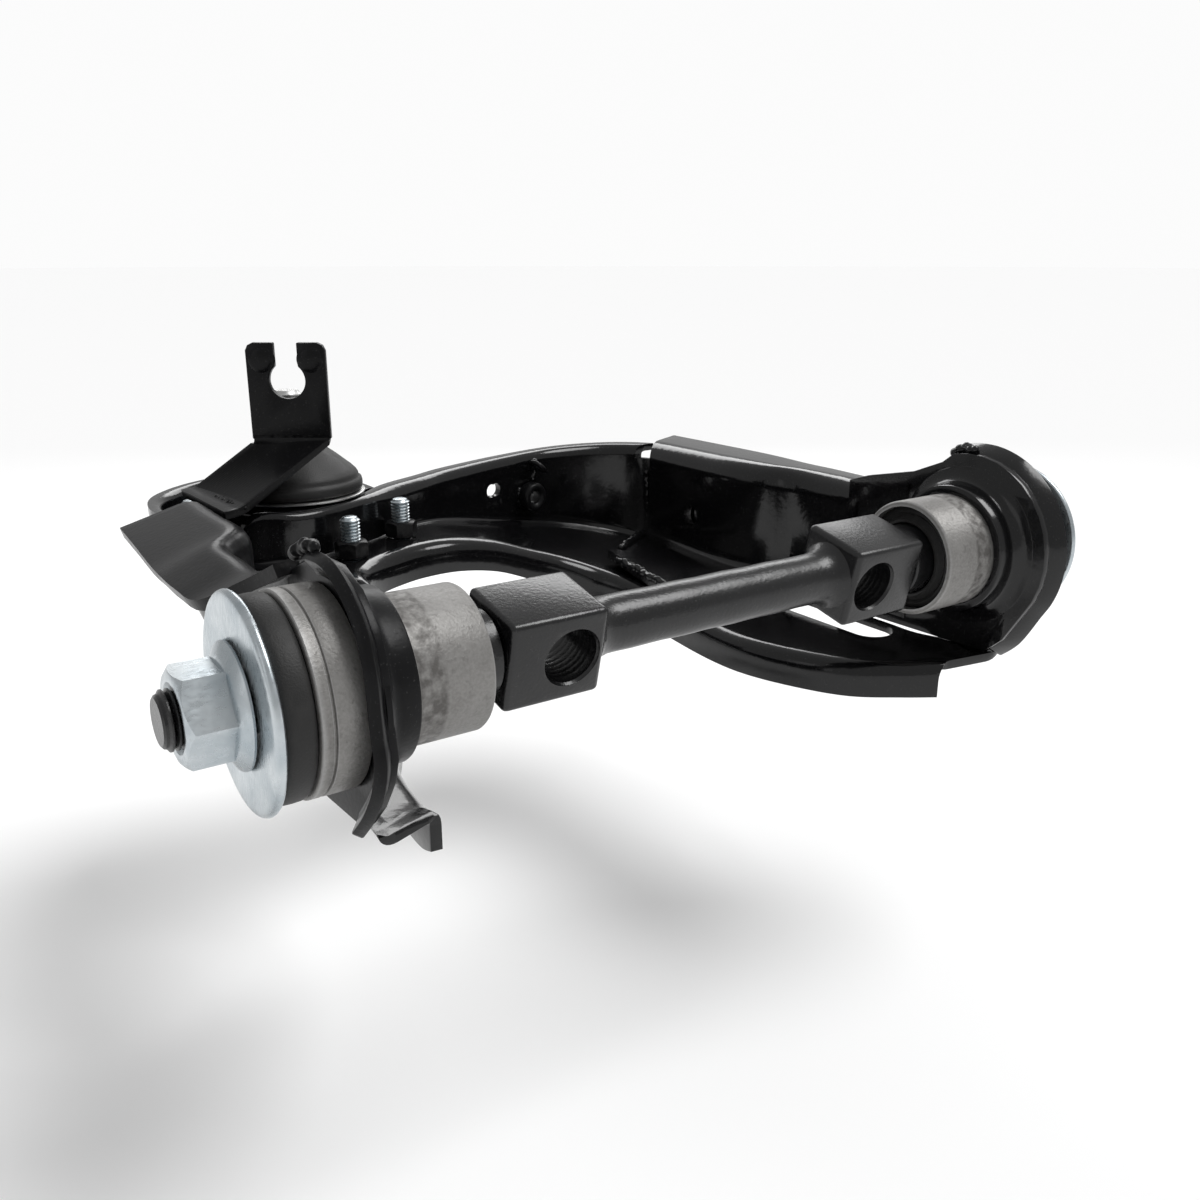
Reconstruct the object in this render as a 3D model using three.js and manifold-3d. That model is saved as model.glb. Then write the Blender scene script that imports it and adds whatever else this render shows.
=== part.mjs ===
// Stamped suspension control arm on a forged cross shaft, with a bolted ball joint.
// Millimetres. X runs along the cross shaft, Y from the shaft towards the ball joint, Z along the
// ball stud.
// The origin is the middle of the cross shaft's axis. "front" is the -X end, "rear" the +X end.

import * as THREE from "three";
import { mergeVertices } from "three/addons/utils/BufferGeometryUtils.js";
import Module from "manifold-3d";

// ---------- driving dimensions ----------

const GAP = 0.3; // clearance left between pieces that touch
const ROUND = 24; // sides of a large turned surface
const SMALL_ROUND = 16; // sides of a small turned surface

// cross shaft
const SHAFT_HALF_LENGTH = 178;
const SHAFT_R = 8; // M16 ends and bush journals
const ROD_R = 9;
const BLOCK_X = [52.4, 86];
const BLOCK_HALF_HEIGHT = 14.5;
const BLOCK_HALF_DEPTH = 13.15;
const BLOCK_BEVEL = 1.8;
const BLOCK_TILT = THREE.MathUtils.degToRad(13.46);
const BOLT_HOLE_X = 63.9;
const BOLT_HOLE_R = 9;

// rubber bush, measured along X from the middle of the shaft
const SMALL_SLEEVE_END = 94.1;
const SMALL_SLEEVE_R = 21.7;
const LARGE_SLEEVE_R = 28.3;
const SLEEVE_WALL = 2;
const BUSH_END = 146.6;
const THRUST_END = 155.2;
const THRUST_R = 28;
const INNER_SLEEVE_R = 13;
const SHAFT_BORE_R = SHAFT_R + GAP;
const WASHER_R = 30;
const WASHER_X = [155.5, 158.3];
const NUT_X = [158.6, 161.6, 174];
const NUT_ACROSS_FLATS = 24;
const NUT_COLLAR_R = 17.3;

// arm pressing
const SHEET = 3.5;
const RIM_Z = 10.5; // middle of the lip on the wall's rim
const LIP_WIDTH = 8.5;
const PAN_LIP = 4;
const FLANGE_DROP = 12;
const OUTER_X = 126;
const BRACKET_SHEET = 4;
const EYE_X = 130.7; // middle of the eye plate
const EYE_R = 38.5; // rear eye's rim
const FRONT_EYE_R = 34;
const EYE_LIP_X = 138.5;
const FRONT_LIP_X = 134.6;
const EYE_FLOOR_Z = -43;
const COLLAR_R = 25;
const COLLAR_END = 118;
const COLLAR_ROOT_R = 30;
const INNER_WALL_X = 120; // bracket wall where it lies inside the pressing
const JOG_Y = [94, 108]; // the bracket wall steps inwards here
const ROOF_EDGE_X = 152;
const BRACKET_WEB_X = 66;

// ball joint
const BALL = new THREE.Vector3(-74, 187, -2);
const BALL_R = 13;
const PAD_R = 30;
const PAD_TOP_Z = 12.5;
const LEDGE_Z = -8.5; // middle of the ledge that the ball joint's bolts pass through
const FLANGE_ANGLE = THREE.MathUtils.degToRad(33);
const BOLT_ACROSS = 40;
const BOLT_ALONG = 18.5;
const BOLT_R = 4;
const BOLT_TOP_Z = 10;
const JOINT_HEX_R = 12 / Math.sqrt(3); // corner radius of the joint's M8 heads and nuts
const STUD_TOP_Z = 56;
const BOOT_R = 28.5;

// hose bracket
const HOSE_MID = new THREE.Vector3(-81.3, 163, 0);
const HOSE_BEND_Z = 38.7;
const HOSE_TOP_Z = 77;
const HOSE_WIDTH = 31;
const HOSE_SHEET = 3;
const HOSE_TURN = THREE.MathUtils.degToRad(-34.8);
const KEYHOLE_Z = 62.5;
const KEYHOLE_R = 7;
const KEYHOLE_SLOT = 9;

// ---------- materials ----------

const finish = (color, roughness, metalness) =>
  new THREE.MeshStandardMaterial({ color, roughness, metalness });
const glossBlack = finish(0x0b0b0d, 0.22, 0.1);
const satinBlack = finish(0x161618, 0.5, 0.1);
const forgedBlack = finish(0x121214, 0.42, 0.2);
const phosphate = finish(0x83817e, 0.62, 0.7);
const zinc = finish(0xc3ccd2, 0.3, 0.95);
const rubber = finish(0x151516, 0.8, 0);
const bareSteel = finish(0xb4b4b2, 0.35, 0.95);
const seatPlastic = finish(0xd8d4c6, 0.5, 0);

// ---------- solids and booleans ----------

const wasm = await Module();
wasm.setup();

// A closed geometry as a solid, turned the right way out.
function solid(geometry) {
  const bare = geometry.index ? geometry.toNonIndexed() : geometry.clone();
  bare.deleteAttribute("normal");
  bare.deleteAttribute("uv");
  const merged = mergeVertices(bare, 1e-3);
  const vertProperties = merged.attributes.position.array;
  const triVerts = new Uint32Array(merged.index.array);
  let made = new wasm.Manifold(new wasm.Mesh({ numProp: 3, vertProperties, triVerts }));
  if (made.volume() < 0) {
    triVerts.reverse();
    made = new wasm.Manifold(new wasm.Mesh({ numProp: 3, vertProperties, triVerts }));
  }
  return made;
}

const join = (...solids) => solids.reduce((a, b) => a.add(b));
const cut = (base, ...tools) => tools.reduce((a, b) => a.subtract(b), base);

function geometryOf(made) {
  const { numProp, vertProperties, triVerts } = made.getMesh();
  const positions = new Float32Array((vertProperties.length / numProp) * 3);
  for (let i = 0; i * numProp < vertProperties.length; i++) {
    positions.set(vertProperties.subarray(i * numProp, i * numProp + 3), i * 3);
  }
  return new THREE.BufferGeometry()
    .setAttribute("position", new THREE.BufferAttribute(positions, 3))
    .setIndex(new THREE.BufferAttribute(triVerts, 1));
}

const arm = new THREE.Group();

function piece(name, made, material) {
  const mesh = new THREE.Mesh(geometryOf(made), material);
  mesh.name = name;
  arm.add(mesh);
}

// Mirrors a solid to the -X end when side is -1.
function atSide(geometry, side) {
  return solid(side > 0 ? geometry : geometry.clone().scale(-1, 1, 1));
}

// A profile that leaves the axis ends on it; any other closes on itself.
const closed = (profile) => (profile[0].x > 0 ? [...profile, profile[0].clone()] : profile);

// A turned piece on the shaft axis, from [x, radius] points that close on themselves.
function turnedOnShaft(points, side) {
  const loop = closed(points.map(([x, r]) => new THREE.Vector2(r, x)));
  return atSide(new THREE.LatheGeometry(loop, ROUND).rotateZ(-Math.PI / 2), side);
}

// A turned piece on the ball joint's axis, from [radius, z] points that close on themselves.
function turnedOnStud(points) {
  const loop = closed(points.map(([r, z]) => new THREE.Vector2(r, z)));
  const geometry = new THREE.LatheGeometry(loop, ROUND).rotateX(Math.PI / 2);
  return solid(geometry.translate(BALL.x, BALL.y, 0));
}

// An [x, y] outline raised from z0 to z1.
function raised(outline, z0, z1) {
  const isShape = outline instanceof THREE.Shape;
  const shape = isShape ? outline : new THREE.Shape(outline.map(([x, y]) => new THREE.Vector2(x, y)));
  const settings = { depth: z1 - z0, bevelEnabled: false, curveSegments: 12 };
  return new THREE.ExtrudeGeometry(shape, settings).translate(0, 0, z0);
}

function rod(radius, from, to, sides = SMALL_ROUND) {
  const span = new THREE.Vector3().subVectors(to, from);
  const upright = new THREE.Vector3(0, 1, 0);
  const turn = new THREE.Quaternion().setFromUnitVectors(upright, span.clone().normalize());
  const middle = new THREE.Vector3().addVectors(from, to).multiplyScalar(0.5);
  const geometry = new THREE.CylinderGeometry(radius, radius, span.length(), sides);
  return solid(geometry.applyQuaternion(turn).translate(middle.x, middle.y, middle.z));
}

function box(x, y, z) {
  const geometry = new THREE.BoxGeometry(x[1] - x[0], y[1] - y[0], z[1] - z[0]);
  return solid(geometry.translate((x[0] + x[1]) / 2, (y[0] + y[1]) / 2, (z[0] + z[1]) / 2));
}

// Rounds the inner corners of a profile: each corner becomes an arc of the stated number of steps.
function filleted(points, radius, steps = 3) {
  const out = [points[0]];
  for (let i = 1; i < points.length - 1; i++) {
    const before = points[i - 1].clone().sub(points[i]);
    const after = points[i + 1].clone().sub(points[i]);
    const reach = Math.min(radius, 0.45 * before.length(), 0.45 * after.length());
    const from = points[i].clone().add(before.setLength(reach));
    const to = points[i].clone().add(after.setLength(reach));
    const bend = new THREE.QuadraticBezierCurve3(from, points[i], to);
    out.push(...bend.getPoints(steps));
  }
  out.push(points[points.length - 1]);
  return out;
}

// Formed sheet metal: profiles (equal counts of points on the middle of the sheet) joined in order.
function formedSheet(profiles, thickness) {
  const rows = profiles.length;
  const columns = profiles[0].length;
  const at = (i, j) => profiles[Math.min(Math.max(i, 0), rows - 1)][Math.min(Math.max(j, 0), columns - 1)];
  const side = (i, j, sign) => {
    const along = new THREE.Vector3().subVectors(at(i + 1, j), at(i - 1, j));
    const before = new THREE.Vector3().subVectors(at(i, j), at(i, j - 1));
    const after = new THREE.Vector3().subVectors(at(i, j + 1), at(i, j));
    const normals = [before, after].filter((v) => v.length() > 0).map((v) => v.cross(along).normalize());
    const normal = normals.reduce((a, b) => a.clone().add(b)).normalize();
    const widen = 1 / Math.max(normal.dot(normals[0]), 0.5);
    return at(i, j).clone().addScaledVector(normal, (sign * thickness * widen) / 2);
  };
  const positions = [];
  for (const sign of [1, -1]) {
    for (let i = 0; i < rows; i++) {
      for (let j = 0; j < columns; j++) positions.push(...side(i, j, sign).toArray());
    }
  }
  const skin = rows * columns;
  const quads = [];
  const top = (i, j) => i * columns + j;
  const bottom = (i, j) => skin + top(i, j);
  for (let i = 0; i < rows - 1; i++) {
    for (let j = 0; j < columns - 1; j++) {
      quads.push([top(i, j), top(i, j + 1), top(i + 1, j + 1), top(i + 1, j)]);
      quads.push([bottom(i, j), bottom(i + 1, j), bottom(i + 1, j + 1), bottom(i, j + 1)]);
    }
    for (const [j, flip] of [[0, false], [columns - 1, true]]) {
      const edge = [top(i, j), top(i + 1, j), bottom(i + 1, j), bottom(i, j)];
      quads.push(flip ? edge.reverse() : edge);
    }
  }
  for (let j = 0; j < columns - 1; j++) {
    for (const [i, flip] of [[0, true], [rows - 1, false]]) {
      const edge = [top(i, j), top(i, j + 1), bottom(i, j + 1), bottom(i, j)];
      quads.push(flip ? edge.reverse() : edge);
    }
  }
  const index = quads.flatMap(([a, b, c, d]) => [a, b, c, a, c, d]);
  const geometry = new THREE.BufferGeometry();
  geometry.setAttribute("position", new THREE.Float32BufferAttribute(positions, 3));
  geometry.setIndex(index);
  return geometry;
}

// ---------- cross shaft and what is clamped on it ----------

function pivotShaft() {
  const flare = 6.5; // the rod swells into each block over this length
  const profile = [
    [-SHAFT_HALF_LENGTH, 0],
    [-SHAFT_HALF_LENGTH, SHAFT_R - 1.2],
    [-SHAFT_HALF_LENGTH + 1.2, SHAFT_R],
    [-BLOCK_X[1] + 1, SHAFT_R],
    [-BLOCK_X[1] + 1, ROD_R + 3],
    [-BLOCK_X[0], ROD_R + 3],
    [-BLOCK_X[0] + flare, ROD_R],
  ];
  const mirrored = profile.map(([x, r]) => [-x, r]).reverse();
  const loop = [...profile, ...mirrored].map(([x, r]) => new THREE.Vector2(r, x));
  const shaft = solid(new THREE.LatheGeometry(loop, 24).rotateZ(-Math.PI / 2));
  return [1, -1].reduce((made, side) => {
    const outline = [[-1, -1], [1, -1], [1, 1], [-1, 1]].map(([a, b]) => [
      a * (BLOCK_HALF_DEPTH - BLOCK_BEVEL),
      b * (BLOCK_HALF_HEIGHT - BLOCK_BEVEL),
    ]);
    const shape = new THREE.Shape(outline.map(([x, y]) => new THREE.Vector2(x, y)));
    const block = new THREE.ExtrudeGeometry(shape, {
      depth: BLOCK_X[1] - BLOCK_X[0] - 2 * BLOCK_BEVEL,
      bevelThickness: BLOCK_BEVEL,
      bevelSize: BLOCK_BEVEL,
      bevelSegments: 2,
    });
    block.translate(0, 0, BLOCK_X[0] + BLOCK_BEVEL);
    block.rotateY(Math.PI / 2).rotateX(Math.PI / 2 + BLOCK_TILT);
    const across = new THREE.Vector3(0, Math.cos(BLOCK_TILT), Math.sin(BLOCK_TILT)).multiplyScalar(20);
    const middle = new THREE.Vector3(side * BOLT_HOLE_X, 0, 0);
    const hole = rod(BOLT_HOLE_R, middle.clone().sub(across), middle.clone().add(across), 24);
    return made.add(atSide(block, side)).subtract(hole);
  }, shaft);
}

// What a bore takes away between two places along the shaft axis.
function shaftBore(from, to, radius, side) {
  return turnedOnShaft([[from - 2, 0], [from - 2, radius], [to + 2, radius], [to + 2, 0]], side);
}

function lockNut(side) {
  const hex = new THREE.CylinderGeometry(1, 1, NUT_X[2] - NUT_X[1] + 1, 6);
  const corner = NUT_ACROSS_FLATS / Math.sqrt(3);
  hex.scale(corner, 1, corner).rotateZ(-Math.PI / 2).translate((NUT_X[1] + NUT_X[2] - 1) / 2, 0, 0);
  const chamfer = turnedOnShaft(
    [
      [NUT_X[1] - 3, 0],
      [NUT_X[1] - 3, 15],
      [NUT_X[2] - 1.4, 15],
      [NUT_X[2], NUT_ACROSS_FLATS / 2 - 0.4],
      [NUT_X[2], 0],
    ],
    side,
  );
  const collar = turnedOnShaft(
    [
      [NUT_X[0], 5],
      [NUT_X[0], NUT_COLLAR_R],
      [NUT_X[0] + 1.6, NUT_COLLAR_R],
      [NUT_X[1] + 0.6, 14.5],
      [NUT_X[1] + 0.6, 5],
    ],
    side,
  );
  const body = join(atSide(hex, side).intersect(chamfer), collar);
  return body.subtract(shaftBore(NUT_X[0], NUT_X[2], SHAFT_BORE_R, side));
}

function endWasher(side) {
  const [inside, outside] = WASHER_X;
  return turnedOnShaft(
    [
      [inside, SHAFT_BORE_R],
      [outside, SHAFT_BORE_R],
      [outside, WASHER_R - 1.2],
      [outside - 1, WASHER_R],
      [inside + 0.8, WASHER_R],
      [inside, WASHER_R - 0.8],
    ],
    side,
  );
}

function innerSleeve(side) {
  const from = BLOCK_X[1] + GAP;
  return turnedOnShaft(
    [
      [from, SHAFT_BORE_R],
      [from, INNER_SLEEVE_R],
      [THRUST_END, INNER_SLEEVE_R],
      [THRUST_END, SHAFT_BORE_R],
    ],
    side,
  );
}

// ---------- rubber bush ----------

const STEP_X = EYE_X + BRACKET_SHEET / 2 + GAP; // where the bush's shell steps up against the eye plate

function outerSleeve(side) {
  return turnedOnShaft(
    [
      [SMALL_SLEEVE_END, SMALL_SLEEVE_R - SLEEVE_WALL],
      [SMALL_SLEEVE_END, SMALL_SLEEVE_R - 0.6],
      [SMALL_SLEEVE_END + 0.6, SMALL_SLEEVE_R],
      [STEP_X, SMALL_SLEEVE_R],
      [STEP_X, LARGE_SLEEVE_R],
      [BUSH_END - 3.8, LARGE_SLEEVE_R],
      [BUSH_END - 3.4, LARGE_SLEEVE_R - 0.5],
      [BUSH_END - 3, LARGE_SLEEVE_R],
      [BUSH_END, LARGE_SLEEVE_R],
      [BUSH_END, LARGE_SLEEVE_R - SLEEVE_WALL],
      [STEP_X + SLEEVE_WALL, LARGE_SLEEVE_R - SLEEVE_WALL],
      [STEP_X + SLEEVE_WALL, SMALL_SLEEVE_R - SLEEVE_WALL],
    ],
    side,
  );
}

function bushRubber(side) {
  const bore = INNER_SLEEVE_R + GAP;
  const small = SMALL_SLEEVE_R - SLEEVE_WALL - GAP;
  const large = LARGE_SLEEVE_R - SLEEVE_WALL - GAP;
  return turnedOnShaft(
    [
      [SMALL_SLEEVE_END + 4, small],
      [STEP_X + SLEEVE_WALL + GAP, small],
      [STEP_X + SLEEVE_WALL + GAP, large],
      [BUSH_END - GAP, large],
      [BUSH_END - GAP, bore],
      [SMALL_SLEEVE_END + 2, bore],
    ],
    side,
  );
}

function thrustRing(side) {
  const bore = INNER_SLEEVE_R + GAP;
  return turnedOnShaft(
    [
      [BUSH_END + GAP, bore],
      [BUSH_END + GAP, THRUST_R - 0.8],
      [BUSH_END + 2.5, THRUST_R],
      [THRUST_END - 1.5, THRUST_R],
      [THRUST_END, THRUST_R - 1],
      [THRUST_END, bore],
    ],
    side,
  );
}

// ---------- arm pressing ----------

// Stations round the horseshoe from the rear eye to the front eye: inner edge [x, y, z] and outer
// corner [x, y, z] of the web, then the height of the wall's rim and the width of its lip.
const REAR_LEG = [
  [[106, -11, EYE_FLOOR_Z], [OUTER_X + 11, -16, EYE_FLOOR_Z]],
  [[94, -3, EYE_FLOOR_Z], [OUTER_X + 6, 1, EYE_FLOOR_Z]],
  [[79, 9, EYE_FLOOR_Z], [OUTER_X, 17, EYE_FLOOR_Z]],
  [[69, 27, EYE_FLOOR_Z], [OUTER_X, 34, EYE_FLOOR_Z]],
  [[62, 49, EYE_FLOOR_Z], [OUTER_X, 54, EYE_FLOOR_Z]],
  [[61, 71, EYE_FLOOR_Z], [OUTER_X, 76, EYE_FLOOR_Z]],
];
const REAR_TURN = [
  [[62, 100, -41.5], [OUTER_X, 106, -43]],
  [[62, 122, -38.5], [OUTER_X, 140, -43]],
  [[58, 136, -36], [OUTER_X, 174, -42.5]],
  [[51, 146, -33], [124, 199, -41]],
  [[42, 151, -29], [106, 216, -36]],
  [[32, 153, -25], [76, 221, -29]],
  [[20, 153, -20.5], [40, 212, -22]],
  [[2, 151, -13.5], [4, 197.5, -13.5]],
];
const NOSE = [
  [[-18, 148, -9.4], [-15, 187, -9.6], RIM_Z, 9],
  [[-36, 145, LEDGE_Z], [-36, 175.5, LEDGE_Z], RIM_Z, 9],
  [[-50, 140, LEDGE_Z], [-53, 164.5, LEDGE_Z], RIM_Z, 4],
  [[-62, 133, LEDGE_Z], [-70, 155.5, LEDGE_Z], RIM_Z, 3],
  [[-71, 124, LEDGE_Z], [-86, 151.5, LEDGE_Z], RIM_Z, 3],
  [[-74, 113, -9], [-101, 156, LEDGE_Z], RIM_Z, 3],
  [[-74, 107, -11], [-112, 160, LEDGE_Z], -4, 1],
];
const FRONT_LEG = [
  [[-74, 99, -16], [-OUTER_X, 156, -18]],
  [[-75, 90, -24], [-OUTER_X, 132, -31]],
  [[-78, 80, -34], [-OUTER_X, 104, -40]],
  [[-84, 68, -41], [-OUTER_X, 80, EYE_FLOOR_Z]],
  [[-93, 52, EYE_FLOOR_Z], [-OUTER_X, 56, EYE_FLOOR_Z]],
  [[-102, 34, EYE_FLOOR_Z], [-OUTER_X, 34, EYE_FLOOR_Z]],
  [[-107, 16, EYE_FLOOR_Z], [-OUTER_X, 14, EYE_FLOOR_Z]],
  [[-109, -2, EYE_FLOOR_Z], [-OUTER_X, -4, EYE_FLOOR_Z]],
  [[-110, -12, EYE_FLOOR_Z], [-OUTER_X, -15, EYE_FLOOR_Z]],
];
const STATIONS = [...REAR_LEG, ...REAR_TURN, ...NOSE, ...FRONT_LEG];

function webProfile([inner, outer, rimZ = RIM_Z, lipWidth = LIP_WIDTH]) {
  const innerEdge = new THREE.Vector3(...inner);
  const corner = new THREE.Vector3(...outer);
  const outwards = corner.clone().sub(innerEdge).setZ(0).normalize();
  const foot = innerEdge.clone().setZ(inner[2] - FLANGE_DROP);
  const rim = corner.clone().setZ(rimZ);
  const lip = rim.clone().addScaledVector(outwards, lipWidth);
  return filleted([foot, innerEdge, corner, rim, lip], 6);
}

// The pan behind the horseshoe that carries the ball joint: the line of its outer wall.
const PAN_WALL = [
  [-44.5, 181], [-45, 192], [-46, 204], [-51, 218], [-61, 232], [-80, 241.5],
  [-103, 233], [-121, 215], [-128, 194], [-127, 174], [-OUTER_X, 158],
];
const PAN_FRONT = [[-112, 161], [-101, 156], [-86, 151.5], [-70, 155.5], [-53, 164.5], [-44.5, 170]];

function nosePan() {
  const middle = new THREE.Vector2(-82, 196);
  const profiles = PAN_WALL.map(([x, y]) => {
    const inwards = middle.clone().sub(new THREE.Vector2(x, y)).normalize();
    const point = (reach, z) => new THREE.Vector3(x + reach * inwards.x, y + reach * inwards.y, z);
    return filleted([point(9, LEDGE_Z), point(0, LEDGE_Z), point(0, RIM_Z), point(-PAN_LIP, RIM_Z)], 4);
  });
  const floor = solid(raised([...PAN_WALL, ...PAN_FRONT], LEDGE_Z - SHEET / 2, LEDGE_Z + SHEET / 2));
  return solid(formedSheet(profiles, SHEET)).add(floor);
}

// The raised pad round the ball joint.
function padSolid(inset, z0, z1) {
  return uprightHole(PAD_R - inset, BALL, z0, z1, ROUND);
}

const flangeAxis = new THREE.Vector3(Math.cos(FLANGE_ANGLE), Math.sin(FLANGE_ANGLE), 0);
const flangeNormal = new THREE.Vector3(-Math.sin(FLANGE_ANGLE), Math.cos(FLANGE_ANGLE), 0);
const JOINT_BOLTS = [[-1, -1], [-1, 1], [1, -1], [1, 1]].map(([across, along]) =>
  BALL.clone()
    .setZ(0)
    .addScaledVector(flangeNormal, across * BOLT_ACROSS)
    .addScaledVector(flangeAxis, along * BOLT_ALONG),
);

function uprightHole(radius, centre, z0, z1, sides) {
  return rod(radius, centre.clone().setZ(z0), centre.clone().setZ(z1), sides);
}

// Back wall fittings: the weld nut and the oblong drain hole beside it.
const WALL_OUT = new THREE.Vector3(-0.217, 0.976, 0);
const WELD_NUT = new THREE.Vector3(57.7, 217, -9.6);
const DRAIN = new THREE.Vector3(33, 211, -2.6);
const WALL_HOLE = new THREE.Vector3(INNER_WALL_X, 157, -17);

function throughWall(radius, centre, outwards, reach) {
  const offset = outwards.clone().multiplyScalar(reach);
  return rod(radius, centre.clone().sub(offset), centre.clone().add(offset));
}

function lighteningSlot() {
  const [x0, x1, y0, y1] = [105, 123, 22, 88];
  const r = (x1 - x0) / 2;
  const shape = new THREE.Shape();
  shape.absarc(x0 + r, y1 - r, r, 0, Math.PI);
  shape.absarc(x0 + r, y0 + r, r, Math.PI, 2 * Math.PI);
  return solid(raised(shape, EYE_FLOOR_Z - 6, EYE_FLOOR_Z + 6));
}

function armPressing() {
  const channel = solid(formedSheet(STATIONS.map(webProfile), SHEET)).add(nosePan());
  const underRoof = box([112, 160], [90, 205], [RIM_Z - 5, RIM_Z + 10]);
  const floorCut = padSolid(SHEET, LEDGE_Z - 14, PAD_TOP_Z - SHEET);
  const pad = padSolid(0, LEDGE_Z - 1, PAD_TOP_Z);
  const noseHole = uprightHole(25, BALL, -30, 30);
  const wallAway = [1, -1].map((side) => {
    const outside = new THREE.BoxGeometry(60, 180, 80);
    return atSide(outside.translate(120, JOG_Y[1] + 4 - 90, EYE_FLOOR_Z + 42), side);
  });
  const boltHoles = JOINT_BOLTS.map((at) => uprightHole(BOLT_R + 0.5, at, LEDGE_Z - 8, LEDGE_Z + 8));
  const drain = [-1.7, 1.7].map((shift) =>
    throughWall(3.3, DRAIN.clone().add(new THREE.Vector3(shift, 0, 0)), WALL_OUT, 8),
  );
  const wallHole = throughWall(5, WALL_HOLE, new THREE.Vector3(1, 0, 0), 12);
  return cut(
    join(channel, pad),
    floorCut,
    underRoof,
    noseHole,
    ...wallAway,
    ...boltHoles,
    ...drain,
    wallHole,
    throughWall(4.2, WELD_NUT, WALL_OUT, 8),
    lighteningSlot(),
  );
}

// ---------- eye brackets ----------

// Wall, crown and roof of the bracket at one place along the leg.
function bracketProfile(y, wallX, crownZ, edgeX, edgeZ, wallFootZ, webEndZ) {
  const point = (x, z) => new THREE.Vector3(x, y, z);
  const foot = [point(BRACKET_WEB_X, webEndZ), point(wallX, wallFootZ)];
  return filleted([...foot, point(wallX, crownZ), point(edgeX, edgeZ)], 9, 4);
}

// The eye's outline in (y, z). The front eye is cut flatter underneath, where the leg's web starts.
function eyeOutline(side) {
  const shape = new THREE.Shape();
  const radius = side < 0 ? FRONT_EYE_R : EYE_R;
  shape.moveTo(7, radius - 0.1);
  shape.absarc(0, 0, radius, Math.PI * 0.56, Math.PI * (side < 0 ? 1.34 : 1.5));
  if (side < 0) {
    shape.lineTo(2, -34.5);
    shape.lineTo(24, -EYE_R);
  }
  shape.lineTo(62, -EYE_R - 1.5);
  shape.lineTo(62, 16);
  shape.lineTo(52, 19.5);
  shape.lineTo(28, 25);
  shape.lineTo(14, 31);
  return shape;
}

// An outline in (y, z) given a thickness along X.
function acrossX(shape, x0, x1) {
  const settings = { depth: x1 - x0, bevelEnabled: false, curveSegments: 18 };
  const turn = new THREE.Matrix4().set(0, 0, 1, x0, 1, 0, 0, 0, 0, 1, 0, 0, 0, 0, 0, 1);
  return new THREE.ExtrudeGeometry(shape, settings).applyMatrix4(turn);
}

function eyeLip(radius) {
  const shape = new THREE.Shape();
  shape.absarc(0, 0, radius, Math.PI * 0.45, Math.PI * 1.33);
  shape.absarc(0, 0, radius - 3.6, Math.PI * 1.33, Math.PI * 0.45, true);
  return shape;
}

// Stations along a bracket: y, wall x, crown z, roof edge x and z, wall foot z, web end z.
// The rear bracket runs along the level part of the web; the front one climbs with it to the ball joint.
const REAR_BRACKET = {
  roofEnd: [[151, 213.6], [112, 188], [90, 188], [90, 260], [170, 260], [170, 213.6]],
  wallEndY: 198,
  stations: [
    [26, EYE_X, 24, 136, 22, -37, -37],
    [40, EYE_X, 18, 141, 15, -37, -37],
    [58, EYE_X, 14, 147, 12, -37, -37],
    [76, EYE_X, 13.5, 150, 11.5, -37, -37],
    [JOG_Y[0], EYE_X, 13.5, 151, 11.5, -38, -36.5],
    [JOG_Y[1], INNER_WALL_X, 14, 151, 11.5, -38, -36],
    [132, INNER_WALL_X, 14, 151, 12, -38, -32.5],
    [158, INNER_WALL_X, 13.5, 151, 12, -37.5, -28],
    [216, INNER_WALL_X, 13, 151, 11.5, -34, -24],
  ],
};
const FRONT_BRACKET = {
  roofEnd: [[154, 158], [100, 158], [100, 170], [170, 170], [170, 158]],
  wallEndY: 150,
  stations: [
    [26, EYE_X, 27, 137, 26, -37, -37],
    [40, EYE_X, 22, 141, 19, -37, -37],
    [58, EYE_X, 19, 150, 10, -37, -37],
    [76, EYE_X, 19, ROOF_EDGE_X, 9.5, -37, -37],
    [JOG_Y[0], EYE_X, 19.5, ROOF_EDGE_X, 9.5, -36, -36.5],
    [JOG_Y[1], INNER_WALL_X, 20.5, ROOF_EDGE_X, 10, -33, -30],
    [132, INNER_WALL_X, 20.5, ROOF_EDGE_X - 1, 11, -24, -20],
    [160, INNER_WALL_X, 20.5, ROOF_EDGE_X - 2, 12, -7, -10],
  ],
};

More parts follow.
